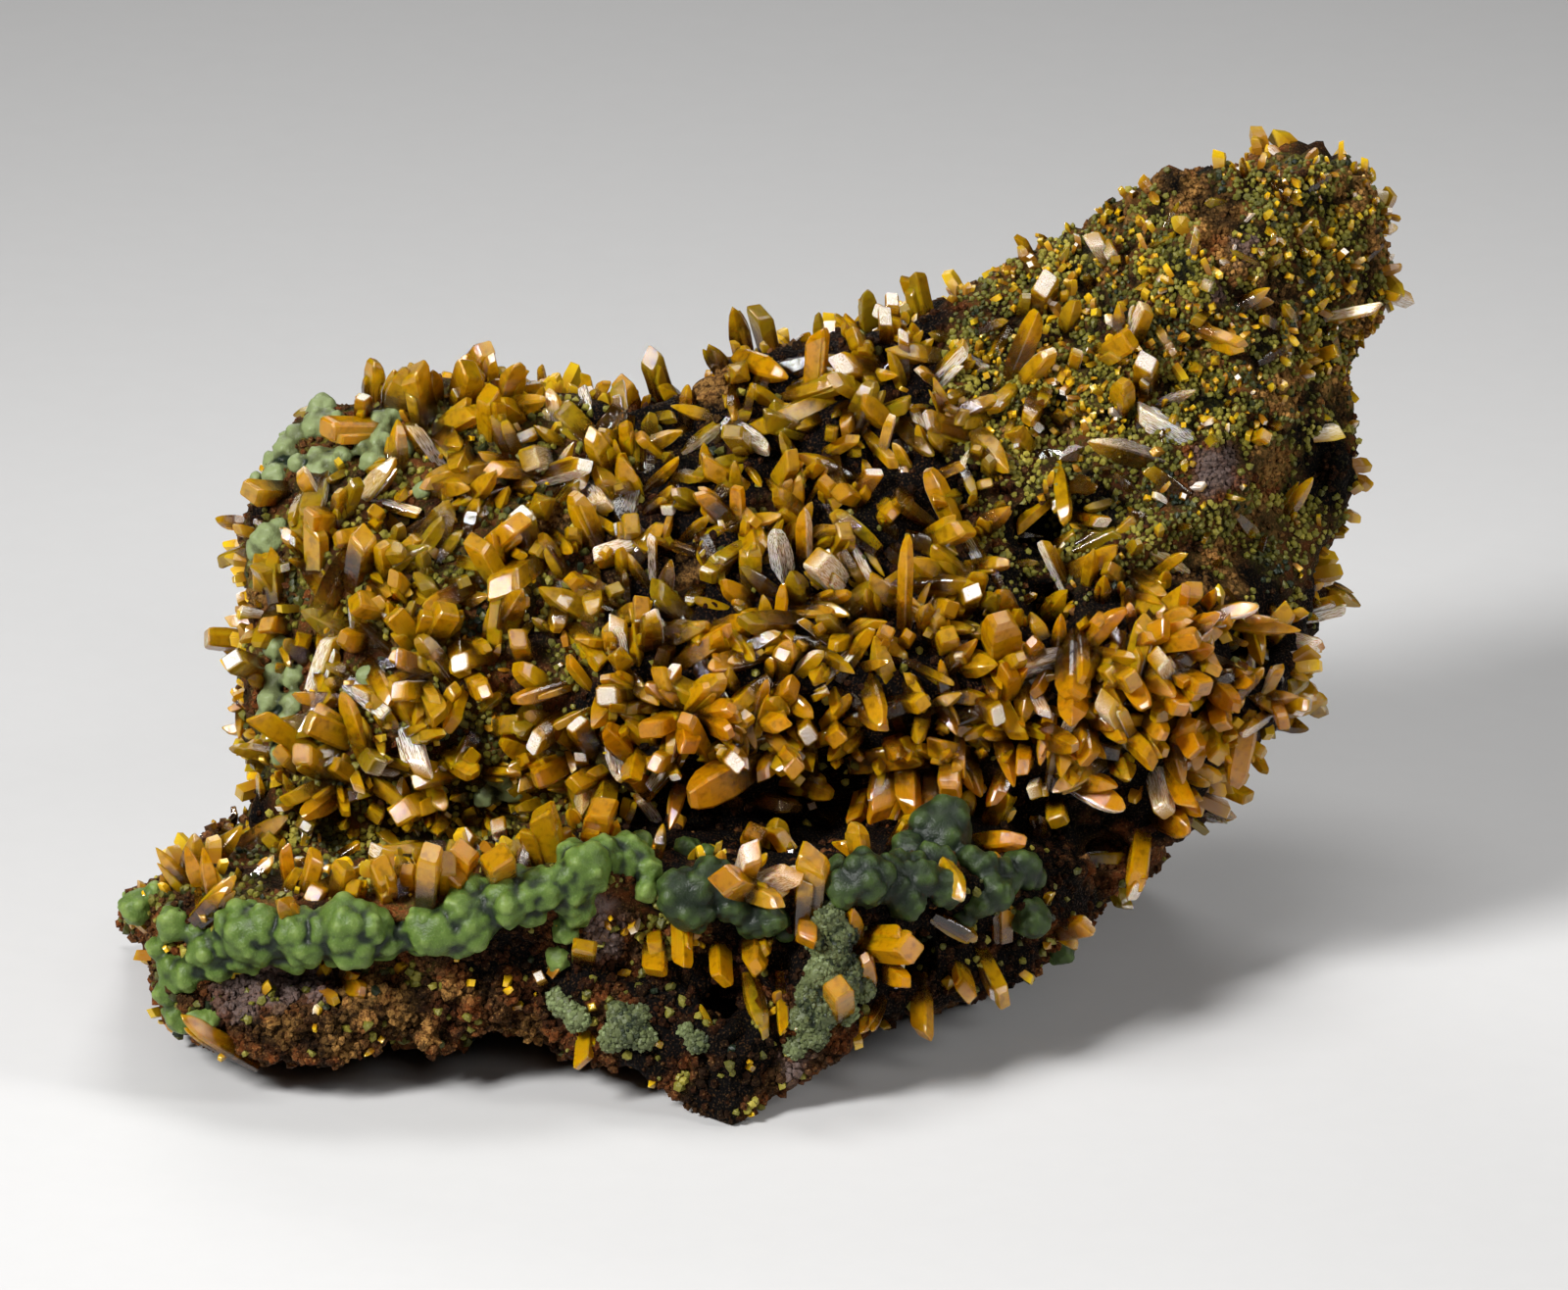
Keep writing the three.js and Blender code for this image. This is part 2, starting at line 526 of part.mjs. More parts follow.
function bead(surface, row, grow) {
  const [x, y, radius] = row;
  const seat = seatedPlace(surface, x, y);
  const size = radius * GRID_STEP + grow;
  const centre = onFace(x, y, seat.depth - size * BEAD_STAND);
  return faceted(centre, size * BEAD_SPREAD, size * BEAD_SPREAD, size * BEAD_THICKNESS);
}

// The bed of a rim: a six-sided bar that follows its route along the ledge's edge.
function rimBed(surface, route, grow) {
  const halfHeight = RIM_BED_HALF_HEIGHT * GRID_STEP + grow;
  const halfDepth = RIM_BED_HALF_DEPTH * GRID_STEP + grow;
  const middles = route.map(([x, y]) => onFace(x, y, seatedPlace(surface, x, y).depth));
  const rings = middles.map((middle) => {
    return Array.from({ length: RIM_BED_SIDES }, (_, side) => {
      const angle = (side / RIM_BED_SIDES) * Math.PI * 2;
      const offset = new THREE.Vector3(0, -Math.cos(angle) * halfDepth, Math.sin(angle) * halfHeight);
      return middle.clone().add(offset);
    });
  });
  const reach = new THREE.Vector3(halfDepth, 0, 0);
  const [first, last] = [middles[0].clone().sub(reach), middles.at(-1).clone().add(reach)];
  return solidFrom(ringedBody(first, rings, last));
}

// A prism over a region of the face, from in front of it down to a depth.
function regionPrism(corners, reach, grow) {
  const points = corners.map(([x, y]) => {
    const place = onFace(x, y, 0);
    return new THREE.Vector2(place.x, place.z);
  });
  const middle = points.reduce((sum, point) => sum.add(point), new THREE.Vector2());
  middle.divideScalar(points.length);
  const pushed = points.map((point) => {
    const away = point.clone().sub(middle).normalize();
    return point.clone().addScaledVector(away, grow * REGION_GROWTH);
  });
  const prism = new THREE.ExtrudeGeometry(new THREE.Shape(pushed), {
    depth: reach - GRID_FRONT,
    bevelEnabled: false,
  });
  prism.rotateX(Math.PI / 2);
  prism.translate(0, reach, 0);
  return solidFrom(prism);
}

function dressed(name, solid, look) {
  const material = new THREE.MeshStandardMaterial({ ...look, metalness: 0, flatShading: true });
  const mesh = new THREE.Mesh(geometryFrom(solid), material);
  mesh.name = name;
  return mesh;
}

function specimen() {
  const base = aboveBase();
  const bareSurface = depthFinder(bodyShell(0).add(ledgeBar(0)));
  const rock = mainPiece(limonite(0, bareSurface).intersect(base));
  const mantle = limonite(MANTLE, bareSurface);
  const surface = depthFinder(rock);
  const taken = [limonite(JOINT_GAP, bareSurface)];
  const face = new THREE.Group();
  face.add(dressed('limonite_matrix', rock, LIMONITE_LOOK));

  // What grows together, on a crust over its region if it has one, cut clear of the rest.
  const addGrowth = (name, region, growths, look) => {
    const raw = (grow) => {
      const skin = region ? [mantle.intersect(regionPrism(region, DRUSE_REACH, grow))] : [];
      return join([...skin, ...growths.map((growth) => growth(grow))]);
    };
    const solid = taken.reduce((left, cutter) => left.subtract(cutter), raw(0)).intersect(base);
    face.add(dressed(name, mainPiece(solid), look));
    taken.push(raw(JOINT_GAP));
  };
  const beads = (rows) => rows.map((row) => (grow) => bead(surface, row, grow));
  const crystals = (rows) => rows.map((row) => (grow) => crystal(surface, row, grow));
  const bed = (route) => (grow) => rimBed(surface, route, grow);

  LEDGE_CRYSTALS.forEach((row, index) => {
    const name = `ledge_crystal_${String(index + 1).padStart(2, '0')}`;
    addGrowth(name, null, crystals([row]), WULFENITE_LOOK);
  });
  const { upperLeft, leftFace, mainFace, horn, rightFace } = CRUST_REGIONS;
  const rimLeft = [bed(RIM_LEFT_BED), ...beads(RIM_LEFT_BEADS)];
  const rimRight = [bed(RIM_RIGHT_BED), ...beads(RIM_RIGHT_BEADS)];
  addGrowth('main_face_druse', mainFace, crystals(MAIN_FACE_CRYSTALS), WULFENITE_LOOK);
  addGrowth('left_face_druse', leftFace, crystals(LEFT_FACE_CRYSTALS), WULFENITE_LOOK);
  addGrowth('right_face_druse', rightFace, crystals(RIGHT_FACE_CRYSTALS), WULFENITE_LOOK);
  addGrowth('horn_druse', horn, crystals(HORN_CRYSTALS), WULFENITE_LOOK);
  addGrowth('mimetite_rim_left', null, rimLeft, MIMETITE_LOOK);
  addGrowth('mimetite_rim_right', null, rimRight, MIMETITE_LOOK);
  addGrowth('mimetite_ridge', null, beads(RIDGE_BEADS), MIMETITE_LOOK);
  addGrowth('mimetite_upper_left', upperLeft, beads(UPPER_LEFT_BEADS), MIMETITE_LOOK);
  addGrowth('mimetite_knob', null, beads(KNOB_BEADS), MIMETITE_LOOK);
  face.rotation.x = -LEAN;
  return face;
}

// The origin is under the middle of the whole, on the plane that it stands on.
const part = new THREE.Group();
const face = specimen();
part.add(face);
part.updateMatrixWorld(true);
const box = new THREE.Box3().setFromObject(part, true);
face.position.set(-(box.min.x + box.max.x) / 2, -(box.min.y + box.max.y) / 2, -box.min.z);

export default part;
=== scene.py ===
"""Dresses a wulfenite specimen: limonite rock, mimetite beads, wulfenite crystals and a stage."""

import itertools
import math
import random

import bmesh
import bpy
import numpy as np
from bpy.props import FloatProperty, FloatVectorProperty, IntProperty, PointerProperty
from mathutils import Matrix, Vector, noise
from mathutils.bvhtree import BVHTree


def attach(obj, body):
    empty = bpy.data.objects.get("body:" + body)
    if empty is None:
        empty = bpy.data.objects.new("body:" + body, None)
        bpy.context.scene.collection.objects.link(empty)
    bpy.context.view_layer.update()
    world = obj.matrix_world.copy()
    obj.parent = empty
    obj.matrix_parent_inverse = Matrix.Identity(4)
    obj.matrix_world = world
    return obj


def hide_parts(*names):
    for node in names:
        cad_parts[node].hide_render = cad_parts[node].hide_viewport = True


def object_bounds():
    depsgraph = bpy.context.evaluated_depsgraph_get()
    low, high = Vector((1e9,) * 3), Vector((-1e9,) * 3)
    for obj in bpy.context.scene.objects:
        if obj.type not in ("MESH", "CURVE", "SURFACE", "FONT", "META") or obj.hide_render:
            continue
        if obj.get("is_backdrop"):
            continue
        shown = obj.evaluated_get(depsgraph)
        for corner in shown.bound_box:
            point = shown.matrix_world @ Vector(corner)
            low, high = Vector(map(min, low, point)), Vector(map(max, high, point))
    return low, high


bl_info = {
    "name": "Wulfenite specimen",
    "version": (1, 0, 0),
    "blender": (4, 5, 0),
    "location": "View3D > Sidebar > Specimen",
    "description": "Limonite, mimetite and wulfenite grown around the specimen's solid model",
    "category": "Object",
}

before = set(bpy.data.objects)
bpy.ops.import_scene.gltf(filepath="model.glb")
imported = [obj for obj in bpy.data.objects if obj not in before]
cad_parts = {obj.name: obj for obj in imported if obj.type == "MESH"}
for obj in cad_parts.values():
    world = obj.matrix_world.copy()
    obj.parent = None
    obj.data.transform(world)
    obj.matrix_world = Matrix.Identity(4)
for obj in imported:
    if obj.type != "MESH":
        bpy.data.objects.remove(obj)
CAD_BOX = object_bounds()

MM = 0.001

# The face grid: places on the specimen's leaning face, in tenths of a millimetre, x to the right
# and y down, as on the solid model. Depth runs into the face.
GRID_STEP = 0.1 * MM
GRID_ZERO_X, GRID_ZERO_Y = 775, 1160
LEAN = math.radians(20)
INTO_FACE = Vector((0.0, math.cos(LEAN), -math.sin(LEAN)))
UP_FACE = Vector((0.0, math.sin(LEAN), math.cos(LEAN)))
FACE_SHIFT = Vector((0.7115, -50.3294, 0.0)) * MM
SIGHT_START = -60 * MM
# A place that has no rock behind it moves towards the hub in small steps.
HUB_X, HUB_Y = 775, 680
SEAT_TRIES, SEAT_STEP = 30, 0.015

# The left part of the face ends at this x; the ledge stands higher on the right of it.
LEFT_PART_X = 640
LEDGE_LEFT_Y, LEDGE_RIGHT_Y = 914, 868
UNDER_LEDGE_Y = 985
# The horn's lower left corner and how far its share fades in from there: x, y, across, up.
HORN_X = 960
HORN_GROUND = (HORN_X, 470, 40, 30)
HORN_RELIEF = (1000, 500, 60, 40)
HORN_CRYSTALS_Y = 560
# The flanks' crystals are finer left of this x, and there are none on the ledge's far end.
LEFT_FLANK_X, FAR_END_X, FAR_END_Y = 330, 210, 870
FLANK_TRIES, FLANK_LOWEST = 1500, 12 * MM
# The hollow over the right of the ledge, whose crystals get painted shade, more of the dark root
# colour: left, right, top, bottom.
SHADED_RECESS = (660, 1000, 812, 868)

# Sizes of the lumps in the rock's relief and ground.
SWELL_SIZE, CELL_SIZE, BLOCK_SIZE = 9 * MM, 2.6 * MM, 11 * MM
STAIN_SIZE, BLOTCH_SIZE, RAGGED_SIZE = 11 * MM, 4 * MM, 1.6 * MM
HOLLOW_DEPTH = 3.5 * MM

# A mimetite bead's and its lobes' share below the surface that carries them, and how near two
# beads are, in radii, before a smaller one joins them.
BEAD_SUNK, LOBE_SUNK = 0.2, 0.52
LINK_REACH, LINK_SIZE = 2.1, 0.75
# Lobes on a bead: how many, their smallest and largest share of its radius.
ROUND_LOBES, FINE_LOBES = (12, 0.3, 0.52), (50, 0.14, 0.26)

SUGAR_GRAINS = {"mimetite_beads_ridge": 1500, "mimetite_beads_knob": 900}

# Tries for each place that a zone could hold when places are scattered in it.
TRIES_PER_PLACE = 7
SEEDS = {
    "beads": 100, "face": 700, "flanks": 790, "ledge": 811,
    "grains": 31, "green": 61, "brown": 62, "drusy": 63, "sugar": 64,
}

LEDGE_NODES = tuple(f"ledge_crystal_{number:02d}" for number in range(1, 19))

# Crystal forms, ring by ring from the foot to the end face: share of the length, share of the half
# width.
FORMS = {
    "spear": ((0.0, 0.8), (0.3, 0.97), (0.58, 1.0), (0.76, 0.78), (0.9, 0.46), (1.0, 0.14)),
    "block": ((0.0, 0.84), (0.3, 0.97), (0.65, 1.0), (0.9, 0.99), (0.97, 0.9), (1.0, 0.74)),
    "grain": ((0.0, 0.58), (0.25, 0.88), (0.5, 1.0), (0.78, 0.94), (0.93, 0.72), (1.0, 0.46)),
    "blade": ((0.0, 0.76), (0.4, 1.0), (0.76, 0.97), (0.9, 0.72), (0.97, 0.42), (1.0, 0.2)),
}
# Share of the blocks whose end face is painted white as a painted glint, and of the seeded
# crystals with pale sides, a painted sheen.
GLINT_ENDS, PALE_SHEEN_SHARE = 0.13, 0.06
# A crystal wider than this has smaller ones beside it.
GROUP_WIDTH = 1.4 * MM

# Crystals of the upper left: foot x, foot y, tip x, tip y, width, form.
UPPER_LEFT = (
    (406, 414, 414, 375, 30, "spear"), (432, 427, 422, 375, 28, "block"),
    (441, 410, 441, 377, 22, "spear"), (470, 411, 481, 376, 30, "block"),
    (500, 395, 515, 390, 14, "grain"), (518, 401, 554, 393, 14, "grain"),
    (495, 419, 554, 409, 20, "grain"), (454, 436, 483, 419, 20, "block"),
    (422, 398, 448, 446, 18, "pale block"), (451, 442, 457, 468, 17, "spear"),
    (378, 438, 332, 438, 24, "block"), (369, 425, 370, 404, 17, "block"),
    (324, 514, 306, 482, 15, "pale block"), (286, 503, 253, 502, 22, "block"),
    (349, 528, 345, 501, 19, "grain"), (343, 530, 315, 530, 24, "block"),
    (323, 580, 322, 536, 21, "block"), (320, 583, 340, 617, 22, "spear"),
    (259, 545, 241, 540, 12, "block"), (309, 563, 292, 544, 14, "block"),
    (264, 599, 264, 567, 15, "block"), (283, 610, 278, 569, 16, "block"),
    (495, 505, 455, 519, 14, "spear"), (497, 513, 486, 535, 14, "spear"),
    (543, 480, 502, 478, 18, "block"), (556, 487, 597, 474, 16, "pale block"),
    (545, 573, 511, 599, 28, "block"), (505, 661, 510, 600, 20, "grain"),
    (441, 650, 460, 621, 26, "block"), (467, 656, 470, 688, 20, "block"),
    (390, 620, 362, 615, 24, "block"), (370, 655, 350, 650, 22, "grain"),
    (289, 640, 271, 637, 18, "block"), (330, 634, 326, 669, 13, "spear"),
    (323, 698, 339, 650, 20, "pale block"), (495, 590, 490, 560, 18, "spear"),
    (513, 568, 500, 553, 18, "block"), (395, 585, 390, 556, 18, "block"),
    (365, 585, 372, 545, 22, "block"), (371, 545, 342, 552, 18, "block"),
    (415, 605, 402, 590, 18, "block"), (487, 595, 433, 621, 20, "blade"),
    (570, 560, 545, 560, 20, "grain"), (425, 655, 402, 625, 24, "block"),
    (438, 685, 405, 670, 20, "block"), (600, 600, 580, 590, 20, "grain"),
    (398, 516, 428, 524, 10, "pale block"), (521, 458, 505, 422, 20, "grain"),
    (514, 627, 534, 615, 16, "block"), (440, 554, 416, 554, 18, "block"),
    (597, 410, 602, 432, 13, "pale blade"), (620, 478, 604, 443, 22, "grain"),
)

# Crystals of the lower left of the face.
LOWER_LEFT = (
    (349, 715, 302, 712, 16, "grain"), (349, 750, 315, 735, 26, "block"),
    (302, 780, 287, 770, 19, "block"), (335, 785, 308, 770, 24, "block"),
    (368, 760, 352, 707, 22, "blade"), (395, 735, 380, 706, 20, "spear"),
    (430, 705, 406, 705, 20, "pale block"), (430, 715, 430, 758, 17, "block"),
    (364, 795, 338, 778, 20, "block"), (342, 808, 309, 833, 22, "grain"),
    (374, 806, 346, 815, 16, "block"), (420, 780, 374, 766, 18, "block"),
    (418, 745, 430, 787, 22, "pale block"), (457, 769, 486, 790, 24, "grain"),
    (444, 815, 408, 828, 24, "block"), (476, 823, 454, 785, 18, "block"),
    (540, 770, 512, 755, 20, "grain"), (575, 700, 525, 715, 22, "grain"),
    (575, 735, 545, 758, 22, "block"), (575, 780, 545, 795, 22, "block"),
    (535, 812, 518, 800, 14, "pale block"), (510, 853, 508, 840, 16, "pale block"),
    (435, 868, 389, 871, 16, "block"), (490, 865, 475, 853, 18, "block"),
    (605, 765, 588, 738, 24, "block"), (630, 705, 605, 742, 24, "spear"),
    (264, 757, 242, 771, 10, "spear"), (268, 700, 256, 690, 14, "grain"),
)

# Crystals of the middle of the face, up to its top edge.
MIDDLE = (
    (767, 369, 804, 385, 26, "spear"), (830, 400, 836, 338, 20, "block"),
    (893, 380, 857, 372, 24, "block"), (831, 411, 770, 439, 24, "block"),
    (754, 439, 785, 458, 20, "pale grain"), (904, 430, 879, 409, 20, "grain"),
    (974, 426, 1011, 406, 20, "grain"), (1000, 449, 1030, 479, 24, "spear"),
    (1048, 455, 1035, 437, 18, "block"), (898, 468, 909, 426, 10, "pale block"),
    (920, 468, 928, 501, 16, "spear"), (971, 529, 947, 479, 22, "pale grain"),
    (952, 554, 987, 538, 25, "block"), (1000, 541, 1030, 517, 20, "spear"),
    (1000, 576, 1030, 575, 17, "grain"), (922, 646, 925, 549, 13, "grain"),
    (866, 490, 815, 465, 22, "spear"), (809, 519, 815, 485, 18, "spear"),
    (845, 508, 844, 490, 16, "block"), (875, 508, 857, 502, 19, "block"),
    (872, 509, 893, 481, 18, "block"), (742, 529, 713, 503, 20, "grain"),
    (751, 493, 716, 473, 20, "block"), (646, 505, 632, 466, 22, "spear"),
    (608, 554, 585, 503, 22, "grain"), (641, 462, 638, 431, 16, "block"),
    (672, 463, 651, 444, 14, "block"), (796, 490, 809, 468, 20, "block"),
    (753, 540, 753, 497, 14, "block"), (759, 532, 796, 528, 14, "blade"),
    (821, 573, 820, 522, 15, "pale grain"), (764, 541, 770, 567, 20, "block"),
    (778, 550, 804, 560, 16, "grain"), (838, 555, 866, 574, 14, "grain"),
    (850, 590, 832, 570, 28, "pale block"), (651, 557, 608, 570, 24, "pale block"),
    (710, 564, 660, 548, 10, "spear"), (667, 589, 665, 548, 9, "pale block"),
    (624, 613, 582, 589, 20, "grain"), (762, 612, 737, 597, 18, "grain"),
    (783, 634, 778, 607, 13, "spear"), (795, 637, 800, 596, 12, "blade"),
    (838, 615, 866, 605, 16, "grain"), (820, 625, 850, 626, 14, "grain"),
    (681, 646, 656, 624, 13, "spear"), (635, 664, 630, 636, 18, "pale block"),
    (650, 672, 646, 636, 13, "spear"), (775, 640, 801, 664, 20, "spear"),
    (740, 640, 775, 632, 20, "grain"), (984, 592, 971, 627, 20, "spear"),
    (1030, 625, 1022, 602, 24, "spear"), (1022, 670, 1022, 630, 36, "grain"),
    (956, 658, 956, 628, 18, "grain"), (866, 669, 841, 696, 14, "pale grain"),
    (831, 656, 799, 651, 12, "block"), (847, 655, 817, 632, 10, "pale block"),
    (895, 653, 923, 667, 15, "grain"), (700, 430, 690, 460, 16, "grain"),
    (841, 385, 837, 422, 14, "grain"), (960, 380, 986, 352, 18, "pale block"),
    (924, 375, 922, 340, 16, "pale block"), (914, 592, 883, 619, 16, "grain"),
    (866, 650, 895, 632, 14, "block"), (748, 535, 708, 551, 16, "spear"),
    (905, 345, 903, 322, 18, "block"), (870, 420, 862, 440, 18, "grain"),
    (700, 640, 716, 668, 16, "grain"), (870, 560, 890, 600, 15, "pale blade"),
)

# Crystals of the lower middle, with the bright clump.
LOWER_MIDDLE = (
    (690, 715, 660, 698, 24, "spear"), (700, 705, 672, 690, 22, "block"),
    (712, 712, 735, 690, 22, "grain"), (690, 732, 663, 745, 22, "block"),
    (700, 738, 705, 762, 22, "block"), (722, 735, 746, 748, 22, "grain"),
    (684, 712, 686, 684, 20, "block"), (722, 724, 748, 722, 20, "grain"),
    (766, 760, 782, 693, 15, "pale blade"), (825, 785, 822, 738, 28, "grain"),
    (868, 746, 845, 776, 18, "spear"), (885, 776, 938, 769, 24, "block"),
    (905, 780, 898, 832, 24, "block"), (925, 780, 928, 828, 22, "block"),
    (971, 766, 968, 811, 26, "block"), (809, 796, 849, 811, 22, "grain"),
    (775, 815, 813, 825, 24, "grain"), (759, 783, 703, 813, 35, "grain"),
    (696, 799, 683, 844, 16, "spear"), (676, 789, 696, 763, 16, "pale block"),
    (842, 833, 872, 859, 16, "block"), (770, 865, 770, 847, 21, "block"),
    (1020, 745, 1034, 802, 17, "spear"), (1000, 730, 990, 708, 14, "grain"),
    (1062, 846, 1058, 810, 15, "grain"), (1047, 694, 1065, 728, 14, "pale block"),
    (1072, 749, 1118, 772, 17, "pale blade"), (640, 765, 618, 742, 22, "grain"),
    (655, 800, 640, 780, 20, "block"), (735, 760, 760, 778, 20, "grain"),
    (790, 720, 810, 700, 20, "block"), (845, 735, 866, 712, 18, "grain"),
    (880, 720, 900, 742, 20, "grain"), (960, 720, 975, 748, 18, "spear"),
    (930, 700, 945, 724, 18, "grain"), (985, 780, 1002, 812, 18, "spear"),
    (1030, 780, 1012, 822, 20, "grain"), (608, 790, 585, 802, 20, "block"),
    (665, 830, 652, 812, 16, "pale block"), (745, 690, 728, 668, 18, "spear"),
    (640, 700, 618, 690, 18, "grain"), (795, 765, 776, 790, 20, "grain"),
    (690, 772, 668, 778, 20, "block"), (750, 815, 742, 792, 18, "grain"),
    (880, 812, 874, 838, 18, "block"), (950, 790, 948, 826, 18, "grain"),
)

# Crystals of the lower right, a dense mass under the fine crust.
LOWER_RIGHT = (
    (1112, 654, 1142, 621, 18, "grain"), (1153, 622, 1155, 657, 16, "spear"),
    (1180, 632, 1168, 657, 20, "block"), (1069, 674, 1019, 688, 22, "pale blade"),
    (1095, 663, 1095, 714, 30, "grain"), (1095, 705, 1095, 740, 28, "spear"),
    (1138, 662, 1123, 694, 16, "grain"), (1149, 677, 1131, 701, 18, "grain"),
    (1172, 691, 1197, 711, 20, "spear"), (1185, 703, 1205, 725, 20, "block"),
    (1190, 688, 1180, 670, 20, "pale block"), (1220, 684, 1240, 682, 10, "spear"),
    (1214, 665, 1238, 660, 18, "spear"), (1238, 628, 1284, 619, 16, "pale blade"),
    (1264, 637, 1327, 644, 20, "spear"), (1290, 712, 1327, 711, 16, "spear"),
    (1300, 712, 1311, 739, 18, "block"), (1291, 710, 1306, 680, 12, "pale block"),
    (1215, 645, 1244, 625, 16, "pale blade"), (1120, 700, 1145, 722, 22, "spear"),
    (1150, 690, 1170, 722, 24, "grain"), (1140, 705, 1118, 728, 20, "spear"),
    (1090, 750, 1082, 792, 20, "spear"), (1100, 795, 1140, 803, 22, "spear"),
    (1068, 742, 1060, 780, 20, "spear"), (1105, 738, 1112, 775, 22, "block"),
    (1195, 785, 1212, 822, 22, "block"), (1180, 830, 1214, 846, 28, "blade"),
    (1165, 862, 1160, 900, 22, "block"), (1180, 790, 1190, 830, 20, "pale block"),
    (1150, 750, 1175, 775, 20, "block"), (1240, 700, 1262, 722, 20, "grain"),
    (1231, 747, 1256, 779, 14, "pale blade"), (1206, 738, 1222, 768, 22, "block"),
    (1196, 760, 1206, 800, 20, "spear"), (1205, 690, 1228, 704, 22, "block"),
    (1160, 655, 1190, 640, 22, "block"), (1180, 640, 1216, 622, 20, "grain"),
    (1190, 655, 1222, 650, 22, "block"), (1130, 640, 1150, 668, 20, "grain"),
    (1120, 670, 1100, 690, 20, "block"), (1110, 725, 1135, 745, 20, "spear"),
    (1048, 700, 1042, 740, 18, "spear"), (1255, 690, 1276, 700, 18, "grain"),
    (1240, 715, 1248, 742, 20, "block"), (1170, 730, 1188, 752, 20, "grain"),
    (1205, 810, 1226, 830, 20, "spear"), (1100, 800, 1148, 825, 22, "pale blade"),
)

# Crystals of the upper right and the horn.
UPPER_RIGHT = (
    (1169, 467, 1112, 450, 24, "pale spear"), (1067, 463, 1106, 467, 12, "grain"),
    (1083, 490, 1089, 533, 18, "grain"), (1098, 527, 1125, 533, 18, "block"),
    (1162, 528, 1141, 543, 12, "grain"), (1316, 522, 1342, 486, 15, "spear"),
    (1083, 591, 1065, 553, 14, "pale block"), (1076, 561, 1098, 543, 14, "block"),
    (1100, 580, 1140, 562, 20, "grain"), (1143, 590, 1128, 578, 17, "block"),
    (1201, 579, 1168, 558, 14, "pale grain"), (1066, 312, 1066, 288, 26, "block"),
    (1037, 374, 1060, 319, 22, "grain"), (1049, 385, 1072, 358, 22, "pale grain"),
    (1143, 335, 1143, 308, 11, "spear"), (1130, 360, 1155, 345, 24, "block"),
    (1222, 334, 1268, 351, 16, "block"), (1268, 311, 1297, 294, 14, "spear"),
    (1313, 351, 1313, 325, 12, "spear"), (1359, 322, 1410, 312, 11, "pale block"),
    (1170, 397, 1170, 368, 22, "block"), (1188, 410, 1221, 398, 12, "pale spear"),
    (1096, 372, 1100, 358, 14, "pale block"), (1146, 412, 1146, 388, 22, "grain"),
    (1198, 440, 1162, 420, 20, "pale block"), (1160, 340, 1170, 312, 18, "pale block"),
    (1130, 258, 1118, 242, 18, "pale block"), (1326, 236, 1343, 222, 9, "spear"),
    (1349, 362, 1368, 356, 14, "block"), (1365, 345, 1360, 326, 9, "spear"),
    (1300, 330, 1288, 324, 12, "grain"), (1240, 345, 1262, 352, 18, "block"),
    (1060, 405, 1048, 430, 20, "grain"), (1030, 400, 1012, 420, 16, "grain"),
    (1020, 350, 1004, 378, 14, "pale block"), (1090, 330, 1098, 305, 16, "grain"),
)

# Crystals on the ledge behind its rim and on the right of the ledge.
LEDGE_LEFT = (
    (192, 902, 162, 865, 14, "spear"), (200, 890, 200, 850, 22, "spear"),
    (218, 876, 246, 842, 20, "spear"), (219, 911, 210, 864, 15, "spear"),
    (215, 924, 244, 894, 20, "spear"), (207, 920, 210, 938, 12, "grain"),
    (252, 862, 294, 833, 22, "spear"), (297, 898, 292, 864, 13, "block"),
    (315, 907, 325, 870, 18, "block"), (348, 915, 355, 881, 22, "block"),
    (364, 915, 363, 903, 20, "block"), (395, 912, 394, 884, 28, "block"),
    (438, 916, 442, 868, 32, "block"), (467, 898, 475, 866, 28, "block"),
    (512, 894, 510, 872, 30, "block"), (566, 876, 554, 825, 32, "block"),
    (609, 853, 615, 822, 33, "block"), (574, 872, 577, 846, 14, "block"),
    (420, 905, 418, 884, 18, "block"), (180, 900, 168, 880, 14, "spear"),
    (205, 900, 192, 862, 16, "spear"), (300, 930, 288, 916, 22, "spear"),
    (340, 905, 322, 912, 20, "block"), (455, 905, 460, 878, 22, "block"),
)
LEDGE_RIGHT = (
    (759, 895, 767, 869, 25, "pale block"), (765, 905, 740, 895, 26, "block"),
    (764, 907, 796, 919, 22, "grain"), (778, 901, 810, 890, 24, "pale block"),
    (826, 932, 831, 872, 31, "block"), (823, 935, 823, 960, 20, "block"),
    (870, 950, 870, 925, 17, "spear"), (890, 963, 931, 966, 28, "block"),
    (856, 1028, 856, 1004, 28, "block"), (770, 1010, 781, 1053, 20, "grain"),
    (797, 1009, 800, 1047, 12, "pale block"), (940, 1013, 940, 1054, 21, "block"),
    (1005, 980, 1025, 1019, 18, "block"), (980, 990, 985, 1012, 20, "block"),
    (1019, 940, 1017, 886, 22, "block"), (955, 881, 983, 912, 26, "pale blade"),
    (1003, 859, 1042, 857, 22, "grain"), (1078, 950, 1110, 945, 20, "pale block"),
    (696, 944, 697, 983, 17, "block"), (669, 966, 669, 991, 24, "block"),
    (735, 965, 738, 1000, 22, "block"), (770, 960, 772, 985, 24, "grain"),
    (890, 1030, 880, 1052, 18, "spear"), (905, 990, 925, 1000, 20, "grain"),
    (250, 1076, 188, 1036, 18, "blade"), (598, 1055, 596, 1084, 16, "block"),
    (597, 974, 597, 962, 24, "block"), (352, 1000, 372, 1010, 20, "grain"),
    (1160, 880, 1160, 912, 20, "block"), (885, 1000, 882, 975, 18, "grain"),
)
